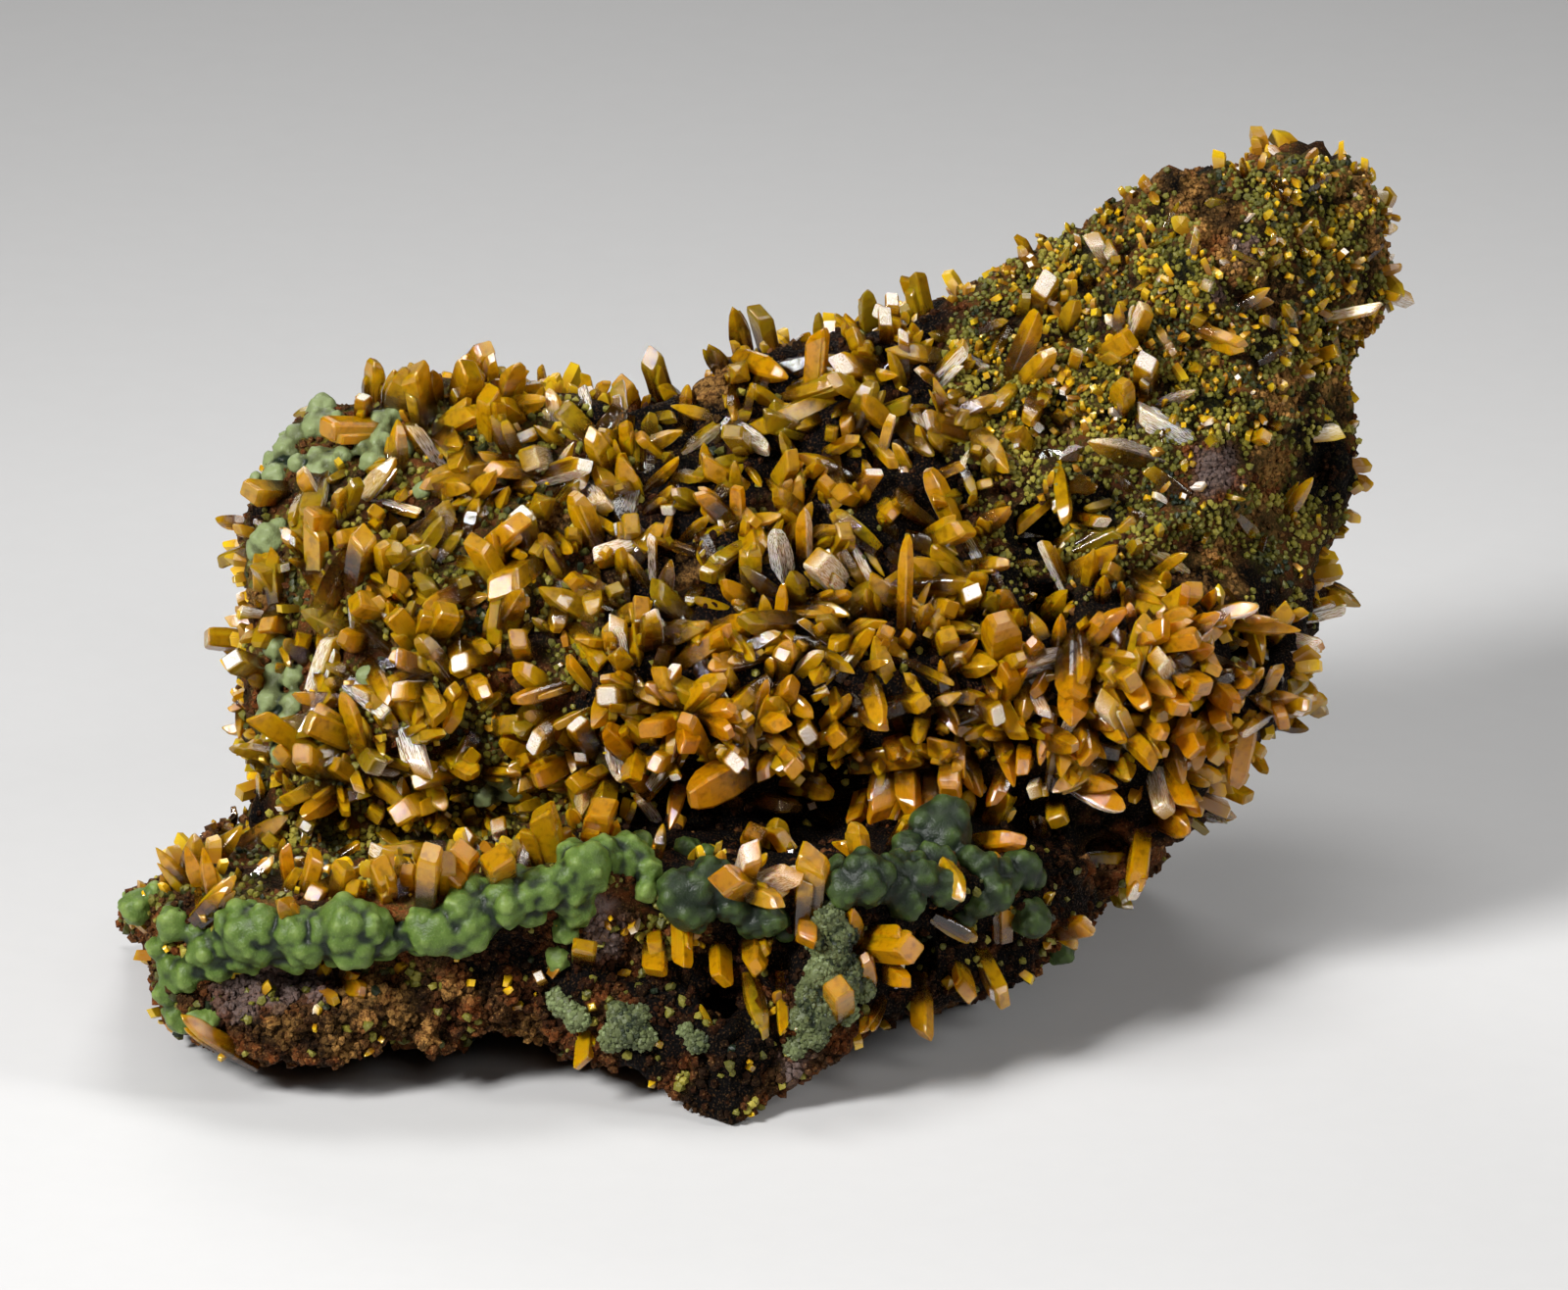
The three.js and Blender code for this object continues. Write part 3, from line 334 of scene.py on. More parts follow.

# Seeded crystals fill the spaces: corners of the zone, spacing, widths, lengths in widths, tones
# from olive to orange, how far they stray from upright on the rock, how ripe their tips are,
# that is how far their colour climbs from the dark root colour, which is partly painted shade.
FILL_ZONES = {
    "left": (
        ((250, 385), (640, 385), (640, 838), (300, 838), (232, 790)),
        22, (11, 25), (1.6, 3.0), (0.06, 0.58), 1.0, 0.95,
    ),
    "middle": (
        ((632, 415), (760, 350), (960, 305), (1000, 420), (1010, 650), (632, 650)),
        20, (11, 23), (1.8, 3.3), (0.05, 0.6), 1.1, 0.9,
    ),
    "lower_middle": (
        ((620, 640), (1010, 640), (1050, 778), (640, 778)),
        18, (13, 25), (1.8, 3.0), (0.3, 0.8), 1.1, 0.95,
    ),
    "lower_right": (
        ((1005, 640), (1150, 590), (1335, 620), (1315, 735), (1235, 840), (1180, 760), (1060, 830)),
        19, (12, 24), (1.7, 3.0), (0.4, 0.9), 1.0, 1.0,
    ),
    "upper_right": (
        ((960, 420), (1290, 440), (1300, 570), (1150, 590), (1000, 650)),
        29, (7, 16), (1.6, 3.2), (0.0, 0.4), 1.1, 0.5,
    ),
    "horn": (
        ((975, 300), (1180, 180), (1405, 170), (1425, 330), (1380, 420), (1290, 440), (980, 440)),
        33, (6, 13), (1.3, 2.6), (0.0, 0.35), 1.0, 0.8,
    ),
    "ledge_top": (
        ((255, 880), (330, 845), (640, 838), (640, 862), (500, 892), (300, 912), (255, 912)),
        26, (8, 18), (1.4, 2.4), (0.2, 0.6), 0.8, 1.0,
    ),
    "under_ledge": (
        ((640, 930), (1060, 960), (1000, 1010), (900, 1040), (800, 1090), (690, 1080), (600, 1040)),
        58, (8, 16), (1.4, 2.4), (0.1, 0.5), 0.8, 0.9,
    ),
}

# Grains that cover the ground: corners of the zone, spacing, share of tiny crystals, share of
# green ones among the rest, radii.
GRAIN_ZONES = {
    "horn": (
        ((970, 290), (1180, 160), (1430, 155), (1440, 340), (1400, 440), (1290, 440), (970, 440)),
        4.0, 0.3, 1.0, (2.0, 4.8),
    ),
    "upper_right": (
        ((960, 440), (1290, 440), (1390, 430), (1390, 540), (1350, 640), (1150, 600), (1000, 660)),
        4.5, 0.08, 1.0, (2.2, 5.0),
    ),
    "left": (
        ((240, 380), (640, 400), (640, 850), (230, 850)),
        6.6, 0.14, 0.8, (2.6, 6.0),
    ),
    "middle": (
        ((640, 400), (760, 340), (970, 290), (1000, 440), (1000, 840), (640, 850)),
        9.0, 0.14, 0.6, (3.0, 7.0),
    ),
    "lower_right": (
        ((1000, 640), (1340, 640), (1310, 760), (1220, 900), (1060, 1000), (1000, 860)),
        8.5, 0.14, 0.3, (3.0, 7.0),
    ),
    "ledge_top": (
        ((150, 850), (640, 838), (660, 900), (600, 905), (300, 918), (125, 918)),
        5.0, 0.12, 0.95, (2.5, 5.5),
    ),
    "ledge_end": (
        ((105, 905), (250, 905), (250, 990), (200, 1070), (130, 1070)),
        5.0, 0.05, 1.0, (3.0, 7.0),
    ),
    "rim_right": (
        ((660, 900), (1090, 860), (1110, 960), (660, 960)),
        7.0, 0.02, 0.7, (3.0, 6.0),
    ),
    "under_left": (
        ((150, 985), (640, 930), (640, 1090), (150, 1090)),
        4.4, 0.05, 0.34, (2.5, 7.0),
    ),
    "under_right": (
        ((640, 930), (1100, 940), (1000, 1060), (780, 1170), (640, 1090)),
        5.2, 0.05, 0.5, (2.6, 7.0),
    ),
}

# Hollows that no crystal fills, sunk into the rock and painted black there as painted shade: x, y,
# radius.
SHADED_HOLLOWS = (
    (1048, 530, 14), (1068, 552, 12), (1062, 606, 12), (1078, 632, 12), (920, 955, 20),
    (944, 936, 18), (722, 1016, 15), (742, 1030, 13), (756, 1054, 16), (716, 1060, 12),
    (1266, 652, 16), (1290, 672, 18), (365, 460, 13), (412, 536, 15), (1112, 858, 22),
    (1142, 842, 20), (1000, 848, 18), (972, 842, 14), (735, 852, 18), (706, 846, 14),
    (890, 862, 16), (670, 842, 12), (765, 860, 18), (800, 860, 20), (836, 866, 18), (866, 860, 18),
    (918, 846, 14), (655, 836, 10),
)

# Bare limonite, which only grains grow on: x, y, radius.
BARE_PATCHES = (
    (1218, 184, 24), (1238, 240, 24), (1262, 275, 16), (1310, 410, 18), (1300, 480, 28),
    (1245, 480, 24), (1362, 470, 28), (722, 392, 24), (745, 425, 16), (572, 530, 14),
    (695, 582, 15), (260, 608, 14), (1216, 560, 18), (1240, 600, 16), (1390, 300, 14),
    (325, 440, 42), (390, 448, 32), (288, 482, 32), (272, 560, 20), (285, 720, 34),
)

# Mimetite beads: x, y, radius.
RIM_LEFT_BEADS = (
    (142, 924, 17), (159, 907, 9), (133, 915, 8), (181, 941, 19), (200, 950, 11), (163, 967, 12),
    (192, 993, 18), (222, 983, 17), (244, 926, 11), (235, 941, 15), (228, 959, 13), (272, 941, 20),
    (254, 970, 22), (304, 941, 17), (300, 970, 20), (328, 950, 20), (354, 941, 28), (380, 941, 20),
    (391, 963, 15), (434, 941, 20), (430, 959, 15), (437, 948, 18), (472, 924, 19), (472, 954, 22),
    (487, 907, 16), (517, 911, 15), (530, 900, 19), (556, 898, 16), (541, 928, 17), (586, 907, 17),
    (589, 876, 20), (617, 870, 18), (653, 861, 15), (660, 885, 16), (660, 907, 12), (578, 948, 14),
    (571, 976, 13), (187, 1035, 19), (172, 1012, 14), (345, 965, 18), (500, 935, 16),
    (405, 950, 16), (640, 880, 16), (606, 895, 16), (215, 1040, 12), (176, 985, 15), (262, 955, 16),
    (455, 940, 16), (258, 952, 30), (312, 954, 28), (362, 952, 32), (396, 952, 24), (446, 948, 26),
    (482, 940, 27), (520, 920, 24), (556, 906, 22), (600, 884, 25), (640, 872, 22), (212, 968, 20),
    (590, 925, 18),
)
RIM_RIGHT_BEADS = (
    (701, 867, 14), (721, 870, 10), (704, 924, 25), (697, 912, 25), (728, 893, 20), (750, 923, 18),
    (787, 935, 18), (801, 951, 10), (854, 884, 12), (882, 895, 28), (924, 918, 20), (927, 867, 18),
    (958, 850, 34), (989, 876, 15), (1003, 884, 16), (1039, 887, 22), (1053, 895, 15),
    (1017, 912, 18), (1053, 937, 20), (983, 935, 13), (1084, 971, 14), (768, 940, 16),
    (905, 890, 20), (940, 895, 20), (965, 905, 20), (716, 905, 18), (860, 905, 18), (1000, 920, 16),
)
RIDGE_BEADS = (
    (846, 935, 17), (858, 950, 15), (836, 956, 15), (850, 972, 18), (868, 986, 14), (838, 992, 17),
    (858, 1006, 15), (828, 1012, 15), (842, 1028, 16), (862, 1030, 12), (820, 1038, 14),
    (832, 1054, 14), (812, 1066, 12), (880, 1008, 12),
)
UPPER_LEFT_BEADS = (
    (326, 416, 16), (322, 434, 15), (341, 428, 10), (290, 445, 8), (302, 443, 12), (291, 458, 13),
    (276, 471, 11), (259, 487, 7), (280, 484, 13), (302, 471, 10), (324, 467, 13), (337, 473, 13),
    (324, 482, 13), (348, 465, 11), (391, 432, 15), (387, 452, 13), (380, 471, 13), (369, 456, 9),
    (416, 442, 9), (402, 419, 12), (411, 456, 11), (273, 551, 16), (262, 560, 12), (282, 538, 10),
    (282, 690, 14), (276, 715, 13), (292, 740, 14), (300, 690, 12), (290, 768, 14), (280, 660, 13),
    (272, 732, 12), (300, 716, 12), (284, 752, 11), (450, 495, 12), (432, 500, 10), (520, 805, 14),
    (508, 792, 11), (495, 812, 12), (375, 690, 12), (470, 600, 10),
)
KNOB_BEADS = (
    (641, 1045, 20), (625, 1058, 13), (658, 1056, 13), (632, 1030, 11), (652, 1034, 11),
    (575, 1020, 15), (590, 1038, 12), (712, 1062, 11), (700, 1050, 8),
)

# Left edge of the ledge's end: x, y, downwards.
LEDGE_END = (
    (262, 776), (262, 812), (246, 830), (222, 850), (196, 872), (176, 892), (146, 908), (130, 918),
    (126, 936), (134, 952), (154, 962), (158, 990), (164, 1018), (172, 1036), (176, 1056),
    (212, 1072), (226, 1082),
)

# Ground cover of the limonite: x, y, radius. The black patches are partly black rock and partly
# painted shade in the gaps between crystals, in the hollow over the ledge and under its rim.
BLACK_AND_SHADE_PATCHES = (
    (1041, 980, 34), (1200, 185, 22), (1238, 172, 20), (1125, 890, 55), (735, 1110, 44),
    (1365, 480, 46), (1310, 660, 40), (600, 1000, 56), (700, 1020, 66), (520, 985, 50),
    (760, 1060, 50), (660, 1075, 40), (560, 1010, 40), (800, 985, 40), (955, 975, 60),
    (1010, 1010, 50), (900, 1020, 40), (690, 850, 34), (740, 862, 38), (800, 862, 40),
    (860, 858, 40), (915, 850, 34), (1000, 842, 40), (1060, 850, 40), (1140, 830, 30),
    (900, 1000, 50), (1030, 620, 60), (1190, 745, 30), (940, 960, 60), (1058, 541, 44),
    (1070, 620, 40), (1266, 250, 14), (1290, 700, 30), (680, 905, 44), (760, 960, 44),
    (830, 930, 44), (900, 920, 44), (1000, 930, 50), (1080, 900, 50), (1000, 600, 46),
    (1120, 510, 34), (1180, 610, 30), (990, 480, 28), (1130, 570, 24), (1340, 440, 24),
)
VIOLET_PATCHES = (
    (245, 1015, 30), (285, 1005, 30), (325, 1002, 22), (612, 935, 26), (618, 965, 22),
    (600, 918, 22), (812, 1085, 20), (1270, 250, 20), (1236, 300, 18), (1240, 480, 30),
)
SAND_PATCHES = (
    (368, 1012, 34), (410, 1030, 26), (434, 1050, 24), (290, 1048, 26), (350, 1058, 26),
    (470, 1010, 20), (540, 1050, 20), (1240, 220, 34), (1262, 262, 26), (1300, 300, 30),
    (1310, 400, 32), (1300, 470, 30), (1290, 530, 30), (1240, 590, 40), (1200, 625, 30),
    (720, 400, 44), (560, 525, 24), (690, 580, 22), (1200, 190, 30), (1390, 190, 30),
    (1410, 250, 30), (1395, 320, 30), (255, 610, 22), (1370, 400, 30),
)
RUST_PATCHES = (
    (300, 1050, 60), (360, 1060, 50), (520, 1035, 50), (560, 1045, 30), (720, 385, 34),
    (1225, 200, 20), (1140, 880, 40), (620, 1020, 24), (1235, 480, 44), (700, 590, 16),
)


class SpecimenSizes(bpy.types.PropertyGroup):
    """Sizes of the grown surfaces."""

    rock_voxel: FloatProperty(
        name="Rock grid",
        description="Step of the grid that the limonite's surface is remade on",
        default=0.72 * MM, min=0.3 * MM, max=5 * MM, unit="LENGTH", precision=5,
    )
    rock_relief: FloatProperty(
        name="Rock relief",
        description="Height of the limonite's broken relief",
        default=1.0 * MM, min=0.0, max=4 * MM, unit="LENGTH", precision=5,
    )
    bead_voxel: FloatProperty(
        name="Bead grid",
        description="Step of the grid that the mimetite's beads are fused on",
        default=0.27 * MM, min=0.15 * MM, max=2 * MM, unit="LENGTH", precision=5,
    )
    grain_count: IntProperty(
        name="Grains",
        description="How many places are tried for grains on the sides and the back",
        default=7000, min=0, max=20000,
    )
    foot_depth: FloatProperty(
        name="Foot depth",
        description="How deep a crystal's foot stands in the rock",
        default=2.0 * MM, min=0.0, max=6 * MM, unit="LENGTH", precision=5,
    )


def colour(name, description, default):
    """A colour that the panel shows."""
    return FloatVectorProperty(
        name=name, description=description, default=default, subtype="COLOR", min=0.0, max=1.0,
    )


class SpecimenColours(bpy.types.PropertyGroup):
    """Colours of the minerals and the stage."""

    crystal_olive: colour(
        "Crystal olive", "Olive yellow of the greenest crystals", (0.50, 0.35, 0.010)
    )
    crystal_yellow: colour("Crystal yellow", "Yellow of most crystals' tips", (0.95, 0.53, 0.004))
    crystal_orange: colour("Crystal orange", "Orange of the warmest crystals", (0.95, 0.40, 0.002))
    # The root colour is partly painted shade, where light falls off towards the rock.
    crystal_root_and_shade: colour("Crystal root", "Olive brown of a crystal's root", (0.26, 0.105, 0.006))
    # The pale colour is a painted sheen: the white of striated sides and end faces that catch the
    # light.
    crystal_sheen_white: colour("Pale crystal", "Pinkish white of the striated sides", (0.95, 0.92, 0.88))
    mimetite: colour("Mimetite", "Green of the beads", (0.068, 0.115, 0.018))
    # The crests' light colour is partly a painted highlight.
    mimetite_light_and_highlight: colour(
        "Light mimetite", "Yellow green of the beads' crests", (0.18, 0.25, 0.06)
    )
    # The deep colour between the beads is painted shade; it also darkens the moss on the rock.
    mimetite_deep_and_shade: colour("Deep mimetite", "Blue green between the beads", (0.007, 0.013, 0.006))
    mimetite_sugar: colour(
        "Sugary mimetite", "Grey green of the granular ridge and knobs", (0.085, 0.10, 0.038)
    )
    # The frosted crests' colour is partly a painted highlight.
    mimetite_frost_and_highlight: colour(
        "Frosted mimetite", "Pale grey green of the sugary crests", (0.21, 0.26, 0.11)
    )
    druse_green: colour(
        "Green druse", "Olive green of the fine grains between the crystals", (0.125, 0.115, 0.014)
    )
    druse_light: colour(
        "Light druse", "Yellow green of the lightest fine grains", (0.40, 0.33, 0.05)
    )
    limonite: colour("Limonite", "Brown of the rock", (0.072, 0.033, 0.012))
    limonite_rust: colour("Rust", "Red brown of the iron stains", (0.16, 0.045, 0.011))
    limonite_sand: colour("Sand", "Yellow brown of the sandy patches", (0.36, 0.185, 0.050))
    # The black is also painted shade, in the gaps, pits and hollows of the rock.
    limonite_black_and_shade: colour("Black", "Near black of the darkest lumps", (0.0018, 0.0014, 0.0013))
    limonite_violet: colour("Violet grey", "Grey of the bare skin of the rock", (0.12, 0.088, 0.08))
    stage: colour("Stage", "Pale grey of the floor", (0.56, 0.555, 0.55))


def on_face(x, y, depth=0.0):
    """A place on the face grid, at some depth into the face, in metres."""
    across = Vector(((x - GRID_ZERO_X) * GRID_STEP, 0.0, 0.0))
    return FACE_SHIFT + across + UP_FACE * ((GRID_ZERO_Y - y) * GRID_STEP) + INTO_FACE * depth


def face_places(points):
    """The places on the face grid in front of an array of points."""
    local = np.asarray(points) - np.array(FACE_SHIFT)
    x = GRID_ZERO_X + local[:, 0] / GRID_STEP
    y = GRID_ZERO_Y - local @ np.array(UP_FACE) / GRID_STEP
    return x, y


def grid_place(point):
    """The place on the face grid in front of one point."""
    x, y = face_places([point])
    return float(x[0]), float(y[0])


def seat(tree, x, y):
    """Depth and normal of the rock behind a place on the grid, or behind one nearer to the hub."""
    for _ in range(SEAT_TRIES):
        hit, normal, _, _ = tree.ray_cast(on_face(x, y, SIGHT_START), INTO_FACE)
        if hit is not None:
            return (hit - FACE_SHIFT).dot(INTO_FACE), normal
        x += (HUB_X - x) * SEAT_STEP
        y += (HUB_Y - y) * SEAT_STEP
    raise RuntimeError(f"no rock behind the place {x:.0f}, {y:.0f}")


def tree_of(obj):
    mesh = obj.data
    return BVHTree.FromPolygons(
        [vertex.co.copy() for vertex in mesh.vertices],
        [tuple(face.vertices) for face in mesh.polygons],
    )


def new_object(name, mesh):
    obj = bpy.data.objects.new(name, mesh)
    bpy.context.scene.collection.objects.link(obj)
    return obj


def finished(obj, material, nodes):
    """Gives a piece its material and its place in the frame."""
    obj.data.materials.clear()
    obj.data.materials.append(material)
    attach(obj, "root")
    if nodes:
        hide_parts(*nodes)


def fused(obj, voxel, smoothing):
    """Remakes an object's surface on a fine even grid, smooths it and gives back its mesh."""
    remesh = obj.modifiers.new("Fuse", "REMESH")
    remesh.mode = "VOXEL"
    remesh.voxel_size = voxel
    smooth = obj.modifiers.new("Smooth", "SMOOTH")
    smooth.factor = 0.5
    smooth.iterations = smoothing
    bpy.context.view_layer.update()
    graph = bpy.context.evaluated_depsgraph_get()
    mesh = bpy.data.meshes.new_from_object(obj.evaluated_get(graph))
    obj.modifiers.clear()
    obj.data = mesh
    return mesh


def keep_values(mesh, name, values, kind="FLOAT_COLOR", field="color"):
    """Keeps values for a mesh's corners under a name that its material reads."""
    attribute = mesh.attributes.new(name, kind, "POINT")
    attribute.data.foreach_set(field, np.asarray(values, np.float32).ravel())


def keep_relief(mesh, values):
    keep_values(mesh, "relief", values, "FLOAT", "value")


def corners_of(mesh):
    """Places and normals of a mesh's corners."""
    places = np.array([vertex.co for vertex in mesh.vertices])
    return places, np.array([vertex.normal for vertex in mesh.vertices])


def move_corners(mesh, places):
    mesh.vertices.foreach_set("co", places.ravel())
    mesh.update()
    mesh.shade_smooth()


def facing_of(normals):
    """How much normals look out of the face, from -1 to 1."""
    return -(np.asarray(normals) @ np.array(INTO_FACE))


def clipped(values):
    return np.clip(values, 0, 1)


def horn_share(corner, x, y):
    """How much places lie on the horn, from 0 to 1."""
    left, bottom, across, up = corner
    return clipped((bottom - y) / up) * clipped((x - left) / across)


def below_share(x, y):
    """How much places lie on the rock under the left part of the ledge, from 0 to 1."""
    return clipped((y - UNDER_LEDGE_Y) / 20) * clipped((LEFT_PART_X - x) / 40)


def ring_faces(start, rings, sides):
    """Faces between rings of corners that follow each other from a first corner on."""
    for ring in range(rings - 1):
        low = start + ring * sides
        high = low + sides
        for side in range(sides):
            beside = (side + 1) % sides
            yield low + side, low + beside, high + beside, high + side


def patch_share(patches, x, y, ragged, edge=12):
    """How much places lie in any of some round patches with ragged edges, from 0 to 1."""
    share = np.zeros(len(x))
    for patch_x, patch_y, radius in patches:
        inside = (radius + ragged - np.hypot(x - patch_x, y - patch_y)) / edge
        share = np.maximum(share, clipped(inside))
    return share


def clouds(points, size, shift=(0.0, 0.0, 0.0)):
    """Smooth noise at an array of points, from about -1 to 1, with lumps as large as size."""
    offset = Vector(shift)
    return np.array([noise.noise(Vector(point) / size + offset) for point in points])


def cell_depths(points):
    """Distance of each point from the middle of its cell, in cell sizes."""
    return np.array([noise.voronoi(Vector(point) / CELL_SIZE)[0][0] for point in points])


def in_polygon(corners, x, y):
    inside = False
    previous_x, previous_y = corners[-1]
    for corner_x, corner_y in corners:
        if (corner_y > y) != (previous_y > y):
            crossing = (previous_x - corner_x) * (y - corner_y) / (previous_y - corner_y) + corner_x
            if x < crossing:
                inside = not inside
        previous_x, previous_y = corner_x, corner_y
    return inside


def ground_cover(points, normals):
    """Shares of green crust, black, violet grey and sand on the rock at an array of points.

    The black is partly black rock and partly painted shade in the gaps, pits and hollows.
    """
    points = np.asarray(points)
    x, y = face_places(points)
    large = clouds(points, STAIN_SIZE)
    middle = clouds(points, BLOTCH_SIZE, (7, 1, 3))
    ragged = clouds(points, RAGGED_SIZE, (2, 9, 4)) * 16
    on_horn = horn_share(HORN_GROUND, x, y)
    above = clipped((np.where(x < LEFT_PART_X, LEDGE_LEFT_Y, LEDGE_RIGHT_Y) - y) / 16)
    # Olive ground lies at the left and at the upper right of the face.
    olive = clipped((660 - x) / 100) + clipped((x - 950) / 60) * clipped((620 - y) / 50)
    green = 0.1 + (0.1 + 0.55 * olive) * above + 0.35 * on_horn
    green = clipped(green + large * 0.6 + middle * 0.6)
    # The black share is partly painted shade, strongest on the face away from the olive ground and
    # the horn, where the gaps between crystals lie.
    black = 0.1 - middle * 0.9 + (1 - above) * 0.2 + above * (1.2 - olive * 0.9) * (1 - on_horn)
    black = clipped(black) * (1 - on_horn * 0.5)
    below = below_share(x, y)
    # Pits are painted black as painted shade in the low grooves between the cells, on the horn and
    # under the ledge.
    pit_shade = clipped((cell_depths(points) - 0.5 + 0.1 * below) / 0.16) * np.maximum(on_horn, below)
    # Black patches and hollows are painted black, partly as painted shade.
    black = np.maximum(black, patch_share(BLACK_AND_SHADE_PATCHES + SHADED_HOLLOWS, x, y, ragged))
    sand = clipped(on_horn * (middle * 1.2 - large * 0.8 - 0.1))
    sand = np.maximum(sand, patch_share(SAND_PATCHES, x, y, ragged))
    violet = patch_share(VIOLET_PATCHES, x, y, ragged)
    rust = patch_share(RUST_PATCHES, x, y, ragged)
    green = green * (1 - rust) * (1 - sand * 0.5) * (1 - violet)
    black = np.maximum(black * (1 - rust * 0.6), pit_shade * 0.9) * (1 - violet)
    front = np.stack((green, black, violet, sand), axis=1)
    back_black = clipped(0.25 + large * 1.8 + middle) * 0.8
    back_sand = clipped(middle * 1.5 - large * 1.5 - 0.1) * 0.85
    back = np.stack((np.zeros(len(x)), back_black, clipped(middle - 0.3), back_sand), axis=1)
    share = clipped((facing_of(normals) + 0.25) / 0.3)[:, None]
    return front * share + back * (1 - share)


class NodeGraph:
    """A material's shader with short ways to add and link its nodes."""

    def __init__(self, name):
        self.material = bpy.data.materials.new(name)
        self.material.use_nodes = True
        self.tree = self.material.node_tree
        self.tree.nodes.clear()
        self.shader = self.tree.nodes.new("ShaderNodeBsdfPrincipled")
        self.add("ShaderNodeOutputMaterial", {"Surface": self.shader.outputs["BSDF"]})

    def add(self, kind, sockets=(), **settings):
        """A new node with its settings, and with its sockets linked or set."""
        node = self.tree.nodes.new(kind)
        for name, value in settings.items():
            setattr(node, name, value)
        for name, value in dict(sockets).items():
            self.put(node.inputs[name], value)
        return node.outputs

    def put(self, socket, value):
        """Links a socket to another node's output, or sets its value."""
        if isinstance(value, bpy.types.NodeSocket):
            self.tree.links.new(value, socket)
        elif hasattr(socket.default_value, "__len__") and len(value) < len(socket.default_value):
            socket.default_value = (*value, 1.0)
        else:
            socket.default_value = value

    def math(self, operation, first, second):
        return self.add("ShaderNodeMath", {0: first, 1: second}, operation=operation)[0]

    def plus(self, first, second):
        return self.math("ADD", first, second)

    def times(self, first, second):
        return self.math("MULTIPLY", first, second)

    def mix(self, share, first, second):
        sockets = {"Factor": share, "A": first, "B": second}
        return self.add("ShaderNodeMix", sockets, data_type="RGBA")["Result"]

    def spread(self, value, low, high, to_low=0.0, to_high=1.0):
        """Turns the values from low to high smoothly into those from to_low to to_high."""
        sockets = {
            "Value": value, "From Min": low, "From Max": high, "To Min": to_low, "To Max": to_high,
        }
        return self.add("ShaderNodeMapRange", sockets, interpolation_type="SMOOTHSTEP")["Result"]

    def place(self):
        return self.add("ShaderNodeTexCoord")["Object"]

    def grain(self, place, size, detail=2.0, roughness=0.5):
        """Noise whose lumps are about as large as size."""
        sockets = {"Vector": place, "Scale": 1.0 / size, "Detail": detail, "Roughness": roughness}
        return self.add("ShaderNodeTexNoise", sockets)["Fac"]

    def stretched(self, place, scale):
        return self.add("ShaderNodeMapping", {"Vector": place, "Scale": scale})["Vector"]

    def attribute(self, name):
        return self.add("ShaderNodeAttribute", attribute_name=name)

    def channels(self, value):
        parts = self.add("ShaderNodeSeparateColor", {"Color": value})
        return parts["Red"], parts["Green"], parts["Blue"]

    def bump(self, height, distance, strength=1.0, under=None):
        sockets = {"Height": height, "Distance": distance, "Strength": strength}
        if under is not None:
            sockets["Normal"] = under
        return self.add("ShaderNodeBump", sockets)["Normal"]

    def dress(self, **sockets):
        for name, value in sockets.items():
            self.put(self.shader.inputs[name.replace("_", " ")], value)


def existing(name):
    return bpy.data.materials.get(name)


def wulfenite_material(colours, name="wulfenite_crystal", clear=True):
    """Clear at the root and cloudy yellow to orange at the tip, with grooves along the crystal.

    The dark root colour is partly painted shade towards the rock; the pale sides and white end
    faces are a painted sheen and painted glints.
    """
    if existing(name):
        return existing(name)
    graph = NodeGraph(name)
    growth = graph.attribute("growth")
    along, tone, pale = graph.channels(growth["Color"])
    chance = growth["Alpha"]
    lattice = graph.attribute("lattice")["Vector"]
    cloud = graph.grain(lattice, 1.3 * MM, 3.0)
    grooves = graph.grain(graph.stretched(lattice, (1.0, 1.0, 0.06)), 0.06 * MM, 2.0, 0.6)
    cool = graph.mix(graph.spread(tone, 0.0, 0.45), colours.crystal_olive, colours.crystal_yellow)
    tip = graph.mix(graph.spread(tone, 0.4, 1.0), cool, colours.crystal_orange)
    ripening_and_light = graph.plus(along, graph.times(cloud, 0.5))
    ripening_and_light = graph.plus(ripening_and_light, graph.times(chance, 0.9))
    # Ripeness runs from the dark root colour to the tip colour, partly painted shade towards the
    # rock; the cloudy grains stay darker still, a painted shade in the gaps.
    ripe_and_lit = graph.spread(ripening_and_light, 0.62, 1.4) if clear else graph.spread(ripening_and_light, 0.8, 2.1)
    veil = graph.spread(graph.grain(lattice, 0.9 * MM, 2.0), 0.4, 0.75, 0.0, 0.35)
    streak = graph.spread(grooves, 0.35, 0.6, 0.14, 0.0)
    ripe_and_lit = graph.times(ripe_and_lit, graph.math("SUBTRACT", 1.0, graph.math("MAXIMUM", veil, streak)))
    body = graph.mix(ripe_and_lit, colours.crystal_root_and_shade, tip)
    # Pale sides and white end faces are painted sheen and painted glints.
    painted_sheen = graph.times(pale, graph.spread(grooves, 0.4, 0.56, 0.25, 1.0))
    body = graph.mix(painted_sheen, body, colours.crystal_sheen_white)
    fine = graph.bump(grooves, 0.05 * MM, 0.5)
    graph.dress(
        Base_Color=body,
        Roughness=graph.spread(cloud, 0.3, 0.8, 0.02, 0.11),
        Normal=graph.bump(cloud, 0.2 * MM, 0.16, fine),
        IOR=1.68,
    )
    if clear:
        share = graph.spread(ripe_and_lit, 0.0, 1.0, 0.94, 0.64)
        share = graph.times(share, graph.spread(painted_sheen, 0.0, 1.0, 1.0, 0.25))
        graph.dress(
            Transmission_Weight=share,
            Subsurface_Weight=0.6,
            Subsurface_Radius=(1.0, 0.55, 0.1),
            Subsurface_Scale=0.7 * MM,
        )
    return graph.material


